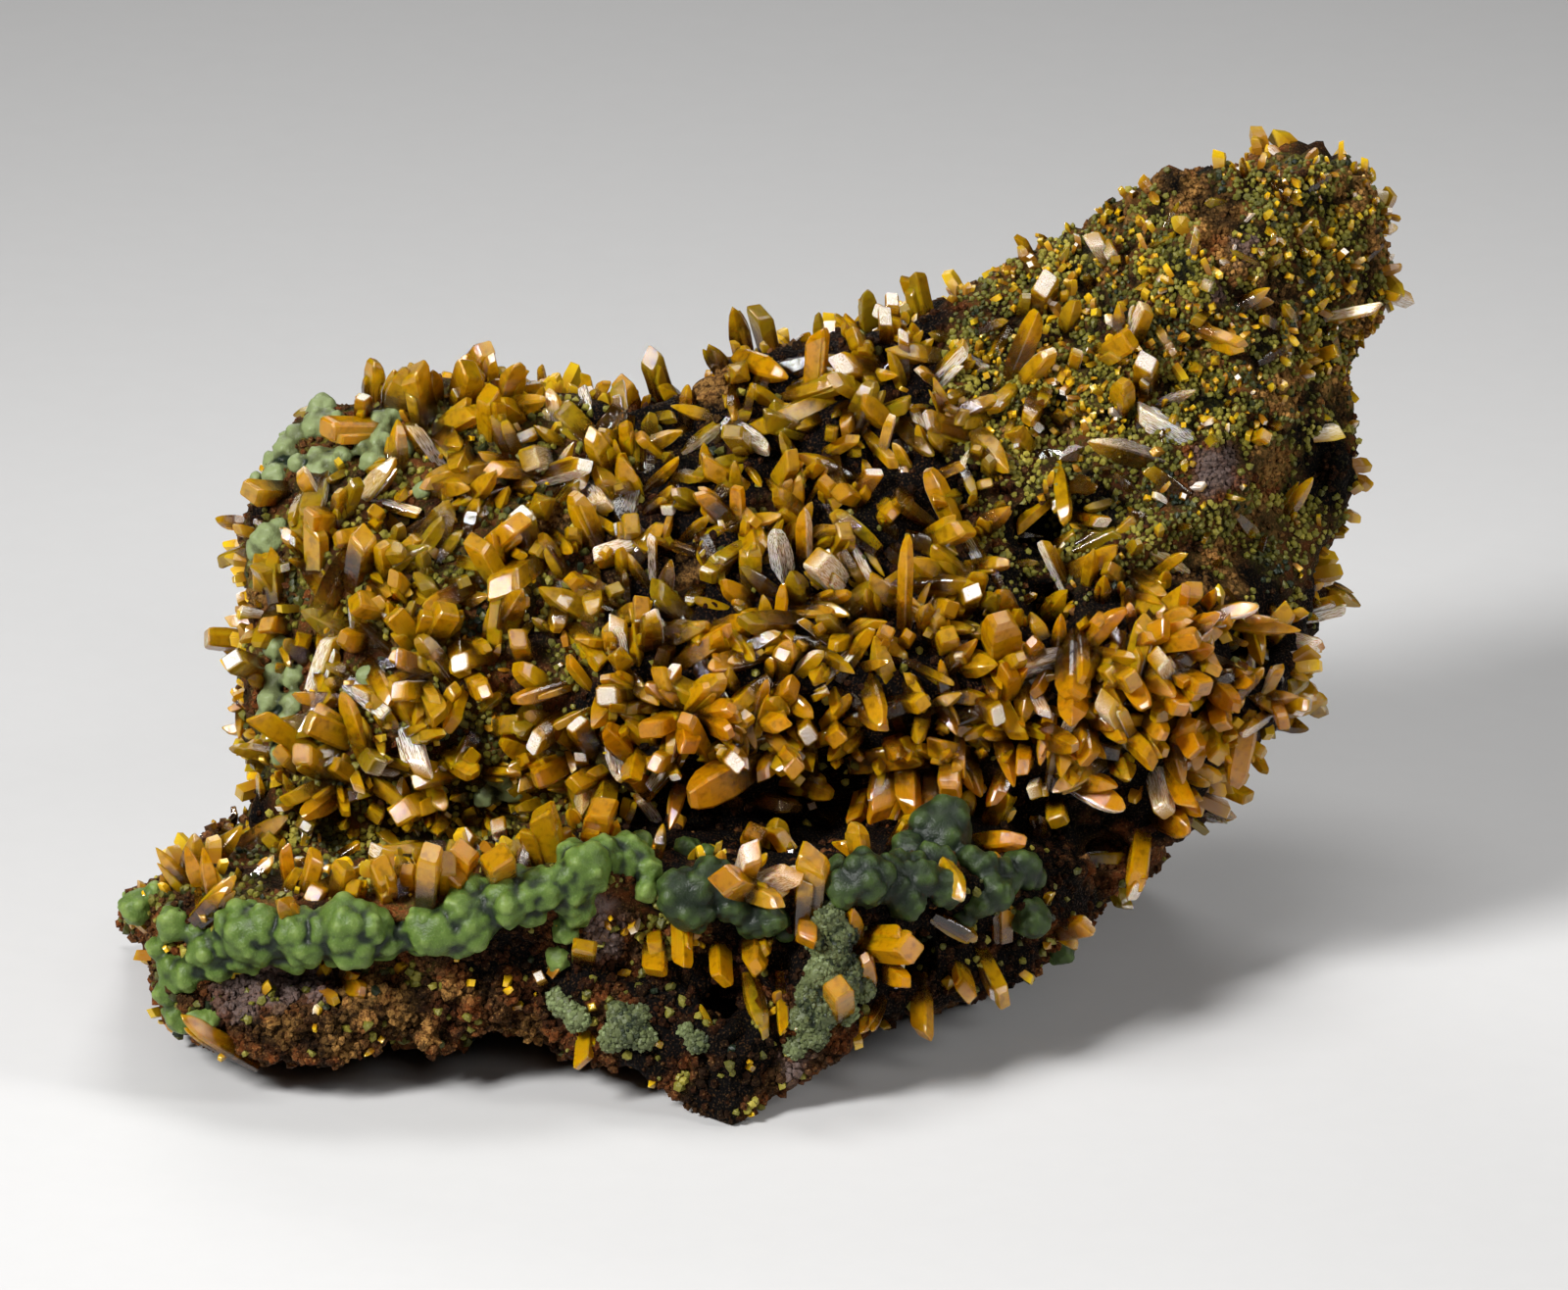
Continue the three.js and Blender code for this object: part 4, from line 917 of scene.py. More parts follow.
def mimetite_material(name, green, pale_and_highlight, deep, glow):
    """Frosted green, lighter on the crests and deep green between the beads.

    On the bead crusts the relief makes the light crests a painted highlight and the deep green
    between the beads painted shade; on grains the relief is noise.
    """
    if existing(name):
        return existing(name)
    graph = NodeGraph(name)
    place = graph.place()
    relief = graph.attribute("relief")["Fac"]
    cloud = graph.grain(place, 4.0 * MM, 2.0)
    sugar = graph.grain(place, 0.22 * MM, 2.0, 0.6)
    # Crest colours paint highlight on the crests and shade between the beads where the relief comes
    # from a crust's shape.
    crest_light_and_shade = graph.plus(relief, graph.times(cloud, 0.3))
    body = graph.mix(graph.spread(crest_light_and_shade, 0.0, 0.75), deep, green)
    body = graph.mix(graph.spread(crest_light_and_shade, 0.75, 1.5, 0.0, 0.75), body, pale_and_highlight)
    crest_frost_and_highlight = graph.times(graph.spread(sugar, 0.52, 0.7, 0.0, 0.3), graph.spread(crest_light_and_shade, 0.1, 0.9))
    body = graph.mix(crest_frost_and_highlight, body, pale_and_highlight)
    graph.dress(
        Base_Color=body,
        Roughness=0.42,
        Normal=graph.bump(sugar, 0.14 * MM, 0.6),
        Subsurface_Weight=glow,
        Subsurface_Radius=(0.5, 1.0, 0.3),
        Subsurface_Scale=0.4 * MM,
        Specular_IOR_Level=0.3,
        IOR=1.45,
    )
    return graph.material


def bead_green(colours):
    return mimetite_material(
        "mimetite_crust", colours.mimetite, colours.mimetite_light_and_highlight, colours.mimetite_deep_and_shade, 0.15
    )


def sugar_green(colours):
    return mimetite_material(
        "mimetite_sugar", colours.mimetite_sugar, colours.mimetite_frost_and_highlight, colours.mimetite_deep_and_shade, 0.0
    )


def druse_green(colours):
    return mimetite_material(
        "mimetite_grain", colours.druse_green, colours.druse_light, colours.mimetite_deep_and_shade, 0.0
    )


def limonite_material(colours):
    """Rusty granular rock: brown, with black, sandy, violet grey and green covered ground.

    The black is partly painted shade.
    """
    if existing("limonite_rock"):
        return existing("limonite_rock")
    graph = NodeGraph("limonite_rock")
    place = graph.place()
    cover = graph.attribute("cover")
    green, black, violet = graph.channels(cover["Color"])
    sand = cover["Alpha"]
    coarse = graph.grain(place, 3.0 * MM, 4.0, 0.6)
    fine = graph.grain(place, 0.5 * MM, 3.0, 0.65)
    speck = graph.grain(place, 0.24 * MM, 1.0)
    rusty = graph.spread(coarse, 0.4, 0.65)
    rock = graph.mix(rusty, colours.limonite, colours.limonite_rust)
    rock = graph.mix(graph.spread(fine, 0.48, 0.66, 0.0, 0.85), rock, colours.limonite_black_and_shade)
    rock = graph.mix(graph.spread(speck, 0.6, 0.72, 0.0, 0.5), rock, colours.limonite_sand)
    sandy = graph.times(sand, graph.spread(fine, 0.38, 0.6, 1.0, 0.15))
    rock = graph.mix(sandy, rock, colours.limonite_sand)
    bare = graph.times(violet, graph.spread(fine, 0.4, 0.65, 0.95, 0.5))
    rock = graph.mix(bare, rock, colours.limonite_violet)
    moss = graph.mix(graph.spread(fine, 0.4, 0.65), colours.mimetite_deep_and_shade, colours.druse_green)
    mossy = graph.times(green, graph.spread(coarse, 0.3, 0.6, 1.0, 0.35))
    rock = graph.mix(mossy, rock, moss)
    # The black share, partly painted shade, is laid over the rest.
    darkest = graph.times(black, graph.spread(speck, 0.52, 0.7, 1.0, 0.82))
    rock = graph.mix(darkest, rock, colours.limonite_black_and_shade)
    graph.dress(
        Base_Color=rock,
        Roughness=graph.spread(speck, 0.4, 0.7, 0.9, 0.45),
        Normal=graph.bump(speck, 0.12 * MM, 0.6, graph.bump(fine, 0.5 * MM, 0.8)),
        Specular_IOR_Level=0.06,
        IOR=1.45,
    )
    return graph.material


def stage_material(colours):
    """Plain pale paper."""
    graph = NodeGraph("stage_paper")
    fibre = graph.grain(graph.place(), 4 * MM, 3.0)
    darker = tuple(channel * 0.97 for channel in colours.stage)
    graph.dress(Base_Color=graph.mix(fibre, colours.stage, darker), Roughness=0.8, IOR=1.4)
    return graph.material


class Druse:
    """Crystals gathered into one mesh, with their colours."""

    def __init__(self, seed):
        self.random = random.Random(seed)
        self.ripeness = 1.0
        self.points = []
        self.faces = []
        self.growth = []
        self.lattice = []
        self.count = 0

    def outline(self, sides):
        """Corners of the crystal's section: a square with cut corners, or a plain square."""
        if sides == 4:
            return [(1, -1), (1, 1), (-1, 1), (-1, -1)]
        cut = self.random.uniform(0.7, 0.9)
        quarter = [(1, -cut), (1, cut)]
        corners = []
        for _ in range(4):
            corners += quarter
            quarter = [(-y, x) for x, y in quarter]
        return corners

    def unit_crystal(self, form, sides):
        """A crystal one wide and one long, each a little different, as rings of corners."""
        pick = self.random.uniform
        outline = self.outline(sides)
        squeeze = pick(0.42, 0.6) if form == "blade" else pick(0.72, 1.0)
        bend = (pick(-0.1, 0.1), pick(-0.1, 0.1))
        slant = (pick(-0.13, 0.13), pick(-0.13, 0.13))
        rings = FORMS[form]
        if sides == 4:
            rings = (rings[0], rings[2], rings[4], rings[-1])
        corners = []
        for share, size in rings:
            grown = size * pick(0.95, 1.05)
            for across, up in outline:
                x = across * grown + bend[0] * share ** 2
                y = (up * grown + bend[1] * share ** 2) * squeeze
                corners.append((x, y, share + (x * slant[0] + y * slant[1]) * share ** 3))
        return np.array(corners), len(rings)

    def add(self, foot, axis, length, width, form, tone, pale, sides, buried, spin=None):
        """One crystal from its foot along its axis; the buried length doesn't count as growth."""
        if spin is None:
            spin = self.random.uniform(0, math.tau)
        corners, ring_count = self.unit_crystal(form, sides)
        turn = Vector((0, 0, 1)).rotation_difference(axis).to_matrix()
        turn = turn @ Matrix.Rotation(spin, 3, "Z")
        local = corners * np.array((width / 2, width / 2, length))
        self.points.append(local @ np.array(turn).T + np.array(foot))
        self.lattice.append(local + np.array([self.random.uniform(0, 0.2) for _ in range(3)]))
        # Share of the grown length, tone, paleness for the painted sheen and a chance of its own
        # for
        #         each crystal.
        growth = np.empty((len(corners), 4))
        growth[:, 0] = clipped((local[:, 2] - buried) / (length - buried)) * self.ripeness
        chance = self.random.random()
        growth[:, 1:] = tone, 0.0, chance
        # Half the sides of a pale crystal carry the painted sheen, and a glint block's end face a
        # painted glint.
        growth.reshape(ring_count, sides, 4)[:, :sides // 2, 2] = pale
        if form == "block" and chance < GLINT_ENDS:
            growth[-sides:, 2] = 1.0
        self.growth.append(growth)
        start = self.count
        self.count += len(corners)
        self.faces.append(tuple(reversed(range(start, start + sides))))
        self.faces.extend(ring_faces(start, ring_count, sides))
        self.faces.append(tuple(range(self.count - sides, self.count)))

    def add_group(self, place, axis, grown, width, form, tone, pale, buried):
        """A crystal on the rock, with the smaller ones beside it mostly turned the same way."""
        pick = self.random.uniform
        spin = pick(0, math.tau)
        foot, length = place - axis * buried, grown + buried
        self.add(foot, axis, length, width, form, tone, pale, 8, buried, spin)
        if width < GROUP_WIDTH:
            return
        for _ in range(self.random.choice((0, 1, 1, 2))):
            away = Vector((pick(-1, 1), pick(-1, 1), pick(-1, 1)))
            away = (away - axis * away.dot(axis)).normalized()
            beside = foot + away * width * pick(0.22, 0.42)
            lean = (axis + away * pick(0.0, 0.12)).normalized()
            long, wide = length * pick(0.6, 0.92), width * pick(0.45, 0.75)
            turned = spin + pick(-0.15, 0.15)
            self.add(beside, lean, long, wide, form, tone, pale, 8, buried, turned)

    def piece(self, name):
        mesh = bpy.data.meshes.new(name)
        mesh.from_pydata(np.concatenate(self.points).tolist(), [], self.faces)
        keep_values(mesh, "growth", np.concatenate(self.growth))
        keep_values(mesh, "lattice", np.concatenate(self.lattice), "FLOAT_VECTOR", "vector")
        return new_object(name, mesh)


def in_shaded_recess(x, y):
    left, right, top, bottom = SHADED_RECESS
    return left < x < right and top < y < bottom


def plant_rows(druse, rows, rock, tone_range, foot_depth):
    """Crystals that stand at known places."""
    for foot_x, foot_y, tip_x, tip_y, width, form in rows:
        pale = druse.random.uniform(0.5, 0.9) if form.startswith("pale ") else 0.0
        depth, _ = seat(rock, foot_x, foot_y)
        # Crystals in the hollow over the ledge get painted shade: lower ripeness leaves more of the
        # dark root colour.
        druse.ripeness = 0.35 if in_shaded_recess(foot_x, foot_y) else 1.0
        wide = width * GRID_STEP
        flat_run = math.hypot(tip_x - foot_x, tip_y - foot_y) * GRID_STEP
        full_run = max(flat_run * 1.08, wide * 2.2)
        forward = math.sqrt(full_run ** 2 - flat_run ** 2)
        foot = on_face(foot_x, foot_y, depth)
        axis = (on_face(tip_x, tip_y, depth - forward) - foot).normalized()
        tone = druse.random.uniform(*tone_range)
        druse.add_group(foot, axis, full_run, wide, form.split()[-1], tone, pale, foot_depth)


def scattered(corners, spacing, rng, empty=SHADED_HOLLOWS):
    """Seeded places in a zone of the face, no two nearer than the spacing."""
    low_x, high_x = min(x for x, _ in corners), max(x for x, _ in corners)
    low_y, high_y = min(y for _, y in corners), max(y for _, y in corners)
    taken = {}
    found = []
    room = (high_x - low_x) * (high_y - low_y) / spacing ** 2
    for _ in range(int(room * TRIES_PER_PLACE)):
        x, y = rng.uniform(low_x, high_x), rng.uniform(low_y, high_y)
        column, row = int(x // spacing), int(y // spacing)
        near = [
            place
            for across in (-1, 0, 1)
            for down in (-1, 0, 1)
            for place in taken.get((column + across, row + down), ())
        ]
        if any(math.hypot(x - near_x, y - near_y) < spacing for near_x, near_y in near):
            continue
        if any(math.hypot(x - hole_x, y - hole_y) < size for hole_x, hole_y, size in empty):
            continue
        if in_polygon(corners, x, y):
            taken.setdefault((column, row), []).append((x, y))
            found.append((x, y))
    return found


def wandering(rng, amount):
    return Vector((rng.gauss(0, 1), rng.gauss(0, 1), rng.gauss(0, 1))).normalized() * amount


def plant_zone(druse, zone, rock, coarse, foot_depth):
    """Seeded crystals between the ones at known places."""
    corners, spacing, widths, slenderness, tones, stray, ripeness = FILL_ZONES[zone]
    rng = druse.random
    druse.ripeness = ripeness
    for x, y in scattered(corners, spacing, rng, SHADED_HOLLOWS + BARE_PATCHES):
        hit, _, _, _ = rock.ray_cast(on_face(x, y, SIGHT_START), INTO_FACE)
        if hit is None:
            continue
        _, normal, _, _ = coarse.find_nearest(hit)
        axis = (normal * 0.6 - INTO_FACE * 0.2 + wandering(rng, stray)).normalized()
        if axis.dot(normal) < 0.2:
            axis = (axis + normal * 0.6).normalized()
        small, large = widths
        width = (small + (large - small) * rng.random() ** 1.4) * GRID_STEP
        grown = width * rng.uniform(*slenderness)
        if not in_polygon(corners, *grid_place(hit + axis * grown)):
            axis = (normal * 0.6 - INTO_FACE * 0.5).normalized()
        form = rng.choice(("block", "block", "grain", "grain", "spear", "spear", "blade"))
        pale = rng.uniform(0.4, 0.9) if rng.random() < PALE_SHEEN_SHARE else 0.0
        druse.add_group(hit, axis, grown, width, form, rng.uniform(*tones), pale, foot_depth)


def plant_flanks(druse, mesh, count, foot_depth):
    """Seeded crystals on the ground that turns away from the face, fewer towards the back."""
    rng = druse.random
    for place, normal in surface_samples(mesh, count, rng):
        facing = -normal.dot(INTO_FACE)
        patchy = noise.noise(place / (8 * MM)) * 0.5
        if facing > 0.3 or place.z < FLANK_LOWEST or facing + patchy < -0.22:
            continue
        axis = (normal + wandering(rng, 0.7)).normalized()
        x, y = grid_place(place)
        on_horn = x > HORN_X and y < HORN_CRYSTALS_Y
        if (on_horn and rng.random() < 0.7) or (x < FAR_END_X and y > FAR_END_Y):
            continue
        finer = 0.5 if on_horn else 0.7 if x < LEFT_FLANK_X else 1.0
        width = (0.8 + 1.3 * rng.random() ** 2) * finer * MM
        grown = width * rng.uniform(1.3, 2.4)
        form = rng.choice(("block", "block", "grain", "spear"))
        tone = rng.uniform(0.05, 0.6)
        pale = rng.uniform(0.4, 0.9) if rng.random() < PALE_SHEEN_SHARE else 0.0
        druse.add_group(place, axis, grown, width, form, tone, pale, foot_depth)


def surface_samples(mesh, count, rng):
    """Seeded points on a mesh, spread evenly over its area, with the normals there."""
    mesh.calc_loop_triangles()
    areas = np.empty(len(mesh.loop_triangles))
    mesh.loop_triangles.foreach_get("area", areas)
    heaps = np.cumsum(areas)
    for _ in range(count):
        index = int(np.searchsorted(heaps, rng.random() * heaps[-1]))
        triangle = mesh.loop_triangles[min(index, len(areas) - 1)]
        a, b, c = (mesh.vertices[corner].co for corner in triangle.vertices)
        first, second = sorted((rng.random(), rng.random()))
        yield a * first + b * (second - first) + c * (1 - second), triangle.normal.copy()


def ball_shape(subdivisions):
    """Corners and faces of a ball of radius one."""
    body = bmesh.new()
    bmesh.ops.create_icosphere(body, subdivisions=subdivisions, radius=1.0)
    corners = np.array([vertex.co for vertex in body.verts])
    faces = np.array([[vertex.index for vertex in face.verts] for face in body.faces])
    body.free()
    return corners, faces


ROUGH_BALL, SMALL_BALL, LARGE_BALL = ball_shape(1), ball_shape(3), ball_shape(4)


class Grains:
    """Rough little balls gathered into one mesh."""

    def __init__(self, seed):
        self.random = random.Random(seed)
        self.points = []
        self.faces = []
        self.centres = []
        self.normals = []

    def add(self, centre, normal, radius):
        corners, faces = ROUGH_BALL
        spin = Matrix.Rotation(self.random.uniform(0, math.tau), 3, wandering(self.random, 1.0))
        rough = np.array([self.random.uniform(0.62, 1.22) for _ in corners])[:, None] * radius
        self.faces.append(faces + len(corners) * len(self.points))
        self.points.append(corners @ np.array(spin) * rough + np.array(centre))
        self.centres.append(centre)
        self.normals.append(normal)

    def piece(self, name):
        mesh = bpy.data.meshes.new(name)
        faces = np.concatenate(self.faces).tolist()
        mesh.from_pydata(np.concatenate(self.points).tolist(), [], faces)
        return new_object(name, mesh)

    def per_corner(self, values):
        """Values of the grains, repeated for the corners of each."""
        return np.repeat(np.asarray(values), len(ROUGH_BALL[0]), axis=0)


class SPECIMEN_OT_limonite(bpy.types.Operator):
    """Remakes the limonite's surface as broken, granular rock"""

    bl_idname = "specimen.limonite"
    bl_label = "Limonite rock"

    def execute(self, context):
        sizes = context.scene.specimen_sizes
        rock = new_object("limonite_rock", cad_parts["limonite_matrix"].data.copy())
        body = bmesh.new()
        body.from_mesh(rock.data)
        bmesh.ops.remove_doubles(body, verts=body.verts, dist=0.01 * MM)
        body.to_mesh(rock.data)
        body.free()
        mesh = fused(rock, sizes.rock_voxel, 8)
        if len(mesh.polygons) < 1000:
            raise RuntimeError("the limonite's surface wasn't remade")
        places, normals = corners_of(mesh)
        moved = self.broken(places, normals, sizes.rock_relief)
        move_corners(mesh, moved)
        keep_values(mesh, "cover", ground_cover(moved, normals))
        material = limonite_material(context.scene.specimen_colours)
        finished(rock, material, ["limonite_matrix"])
        return {"FINISHED"}

    def broken(self, places, normals, relief):
        """The surface with lumps, cells and grains, and with its dark hollows sunk."""
        facing = facing_of(normals)
        x, y = face_places(places)
        on_horn = horn_share(HORN_RELIEF, x, y)
        swells = np.array([noise.fractal(Vector(p) / SWELL_SIZE, 1.0, 2.1, 3) for p in places])
        swells *= np.where(facing > 0, 0.7 + 0.7 * on_horn, 1.3)
        cells = 0.5 - cell_depths(places)
        cells *= 1 + 1.1 * on_horn + 2.0 * below_share(x, y)
        grains = clouds(places, 1.1 * MM) * 0.3
        ragged = clouds(places, 2.4 * MM) * 36
        sunk = patch_share(SHADED_HOLLOWS, x, y, ragged, 40) * clipped(facing * 2)
        rise = (swells + cells * 0.9 + grains) * relief - sunk * HOLLOW_DEPTH
        rise -= self.cleft(places) * clipped((0.1 - facing) / 0.3)
        calm = clipped((places[:, 2] - 0.4 * MM) / (3 * MM))
        moved = places + normals * (rise * calm)[:, None]
        edge_x, edge_y = np.array(LEDGE_END).T
        x, y = face_places(moved)
        on_end = (y > edge_y[0]) & (y < edge_y[-1]) & (x < 300)
        short = np.maximum(np.interp(y, edge_y, edge_x) + ragged * 0.15 - x, 0) * on_end
        moved[:, 0] += short * GRID_STEP * 0.95
        moved[:, 2] = np.maximum(moved[:, 2], 0.0)
        return moved

    def cleft(self, places):
        """How deep the broken back lies below its highest blocks."""
        blocks = [noise.voronoi(Vector(p) / BLOCK_SIZE) for p in places]
        edge = np.array([spaces[1] - spaces[0] for spaces, _ in blocks])
        level = np.array([noise.cell(middles[0] * 7.0) for _, middles in blocks])
        flat = clipped(edge / 0.14)
        return (level * flat * 2.0 + (1 - flat) * 1.6) * MM


def rock_object():
    rock = bpy.data.objects.get("limonite_rock")
    if rock is None:
        raise RuntimeError("the limonite rock has to be made first")
    return rock


def standing_out(mesh, places, normals, rounds):
    """How far each corner of a mesh stands out from the smoothed surface around it."""
    ends = np.empty(len(mesh.edges) * 2, np.int32)
    mesh.edges.foreach_get("vertices", ends)
    here, there = np.concatenate((ends.reshape(-1, 2), ends.reshape(-1, 2)[:, ::-1])).T
    ties = np.bincount(here, minlength=len(places))
    calm = places
    for _ in range(rounds):
        sums = [np.bincount(here, calm[there, axis], len(places)) / ties for axis in range(3)]
        calm = np.stack(sums, axis=1)
    return ((places - calm) * normals).sum(axis=1)


def linked(beads):
    """The beads with a smaller one between each two neighbours, so that they grow together."""
    links = []
    for first, second in itertools.combinations(beads, 2):
        x, y, radius = ((one + other) / 2 for one, other in zip(first, second))
        if math.hypot(first[0] - second[0], first[1] - second[1]) < radius * LINK_REACH:
            links.append((x, y, min(first[2], second[2]) * LINK_SIZE))
    return (*beads, *links)


def bead_mass(name, beads, shade, lobes, rock, voxel, seed):
    """Beads with smaller lobes on them, fused into one rounded crust.

    Shade paints the crust darker as painted shade, and lighter below zero.
    """
    lobe_count, smallest, largest = lobes
    rng = random.Random(seed)
    points, faces = [], []
    count = 0
    for x, y, radius in linked(beads):
        depth, _ = seat(rock, x, y)
        reach = radius * GRID_STEP
        centre = on_face(x, y, depth - reach * BEAD_SUNK)
        lump = [(centre, reach, LARGE_BALL)]
        for _ in range(lobe_count):
            aside = wandering(rng, 1.0)
            if aside.dot(INTO_FACE) > 0.4:
                aside = -aside
            small = reach * rng.uniform(smallest, largest)
            lump.append((centre + aside * (reach - small * LOBE_SUNK), small, SMALL_BALL))
        for middle, size, (ball_points, ball_faces) in lump:
            points.append(ball_points * size + np.array(middle))
            faces.append(ball_faces + count)
            count += len(ball_points)
    mesh = bpy.data.meshes.new(name)
    mesh.from_pydata(np.concatenate(points).tolist(), [], np.concatenate(faces).tolist())
    obj = new_object(name, mesh)
    mesh = fused(obj, voxel, 1)
    places, normals = corners_of(mesh)
    rough = clouds(places, 0.5 * MM) * 0.08 * MM + clouds(places, 2.6 * MM) * 0.12 * MM
    places = places + normals * rough[:, None]
    move_corners(mesh, places)
    # Corners that stand out get the light crest colour and sunken ones the deep colour: painted
    # highlight and painted shade.
    relief = standing_out(mesh, places, normals, 24) / (0.42 * MM) + 0.2
    keep_relief(mesh, relief * (1 - 0.6 * shade) - 0.15 * shade)
    return obj


class SPECIMEN_OT_mimetite(bpy.types.Operator):
    """Grows the green beads on the ledge's rim, the ridge and the upper left"""

    bl_idname = "specimen.mimetite"
    bl_label = "Mimetite beads"

    def execute(self, context):
        rock = tree_of(rock_object())
        voxel = context.scene.specimen_sizes.bead_voxel
        smooth = bead_green(context.scene.specimen_colours)
        sugary = sugar_green(context.scene.specimen_colours)
        # The third value is painted shade: above zero it darkens the crust, below zero it lightens
        # it.
        crusts = (
            ("rim_left", RIM_LEFT_BEADS, 0.0, ROUND_LOBES, smooth),
            ("rim_right", RIM_RIGHT_BEADS, 1.1, ROUND_LOBES, smooth),
            ("ridge", RIDGE_BEADS, 0.35, FINE_LOBES, sugary),
            ("upper_left", UPPER_LEFT_BEADS, -0.6, ROUND_LOBES, sugary),
            ("knob", KNOB_BEADS, 0.5, FINE_LOBES, sugary),
        )
        for number, (place, beads, shade, lobes, green) in enumerate(crusts):
            seed = SEEDS["beads"] + number
            obj = bead_mass(f"mimetite_beads_{place}", beads, shade, lobes, rock, voxel, seed)
            finished(obj, green, [f"mimetite_{place}"])
        return {"FINISHED"}


class SPECIMEN_OT_face_crystals(bpy.types.Operator):
    """Grows the crystals of the leaning face"""

    bl_idname = "specimen.face_crystals"
    bl_label = "Face crystals"

    def execute(self, context):
        rock = tree_of(rock_object())
        coarse = tree_of(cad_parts["limonite_matrix"])
        depth = context.scene.specimen_sizes.foot_depth
        material = wulfenite_material(context.scene.specimen_colours)
        # Rows of known places with the tones of their crystals.
        left = ((UPPER_LEFT, (0.3, 0.7)), (LOWER_LEFT, (0.4, 0.75)))
        middle = ((MIDDLE, (0.35, 0.8)), (LOWER_MIDDLE, (0.55, 1.0)))
        right = ((LOWER_RIGHT, (0.6, 1.0)),)
        horn = ((UPPER_RIGHT, (0.25, 0.6)),)
        druses = (
            ("wulfenite_left", "left_face_druse", left, ("left",)),
            ("wulfenite_middle", "main_face_druse", middle, ("middle", "lower_middle")),
            ("wulfenite_lower_right", "right_face_druse", right, ("lower_right",)),
            ("wulfenite_horn", "horn_druse", horn, ("upper_right", "horn")),
        )
        for number, (name, node, rows, zones) in enumerate(druses):
            druse = Druse(SEEDS["face"] + number)
            for places, tones in rows:
                plant_rows(druse, places, rock, tones, depth)
            for zone in zones:
                plant_zone(druse, zone, rock, coarse, depth)
            finished(druse.piece(name), material, [node])
        flanks = Druse(SEEDS["flanks"])
        plant_flanks(flanks, rock_object().data, FLANK_TRIES, depth * 0.5)
        finished(flanks.piece("wulfenite_flanks"), material, [])
        return {"FINISHED"}


class SPECIMEN_OT_ledge_crystals(bpy.types.Operator):
    """Grows the crystals that stand on the ledge and under its rim"""

    bl_idname = "specimen.ledge_crystals"
    bl_label = "Ledge crystals"

    def execute(self, context):
        rock = tree_of(rock_object())
        coarse = tree_of(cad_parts["limonite_matrix"])
        depth = context.scene.specimen_sizes.foot_depth
        material = wulfenite_material(context.scene.specimen_colours)
        druse = Druse(SEEDS["ledge"])
        plant_rows(druse, LEDGE_LEFT + LEDGE_RIGHT, rock, (0.35, 0.85), depth)
        plant_zone(druse, "ledge_top", rock, coarse, depth)
        plant_zone(druse, "under_ledge", rock, coarse, depth)
        finished(druse.piece("wulfenite_ledge"), material, LEDGE_NODES)
        return {"FINISHED"}


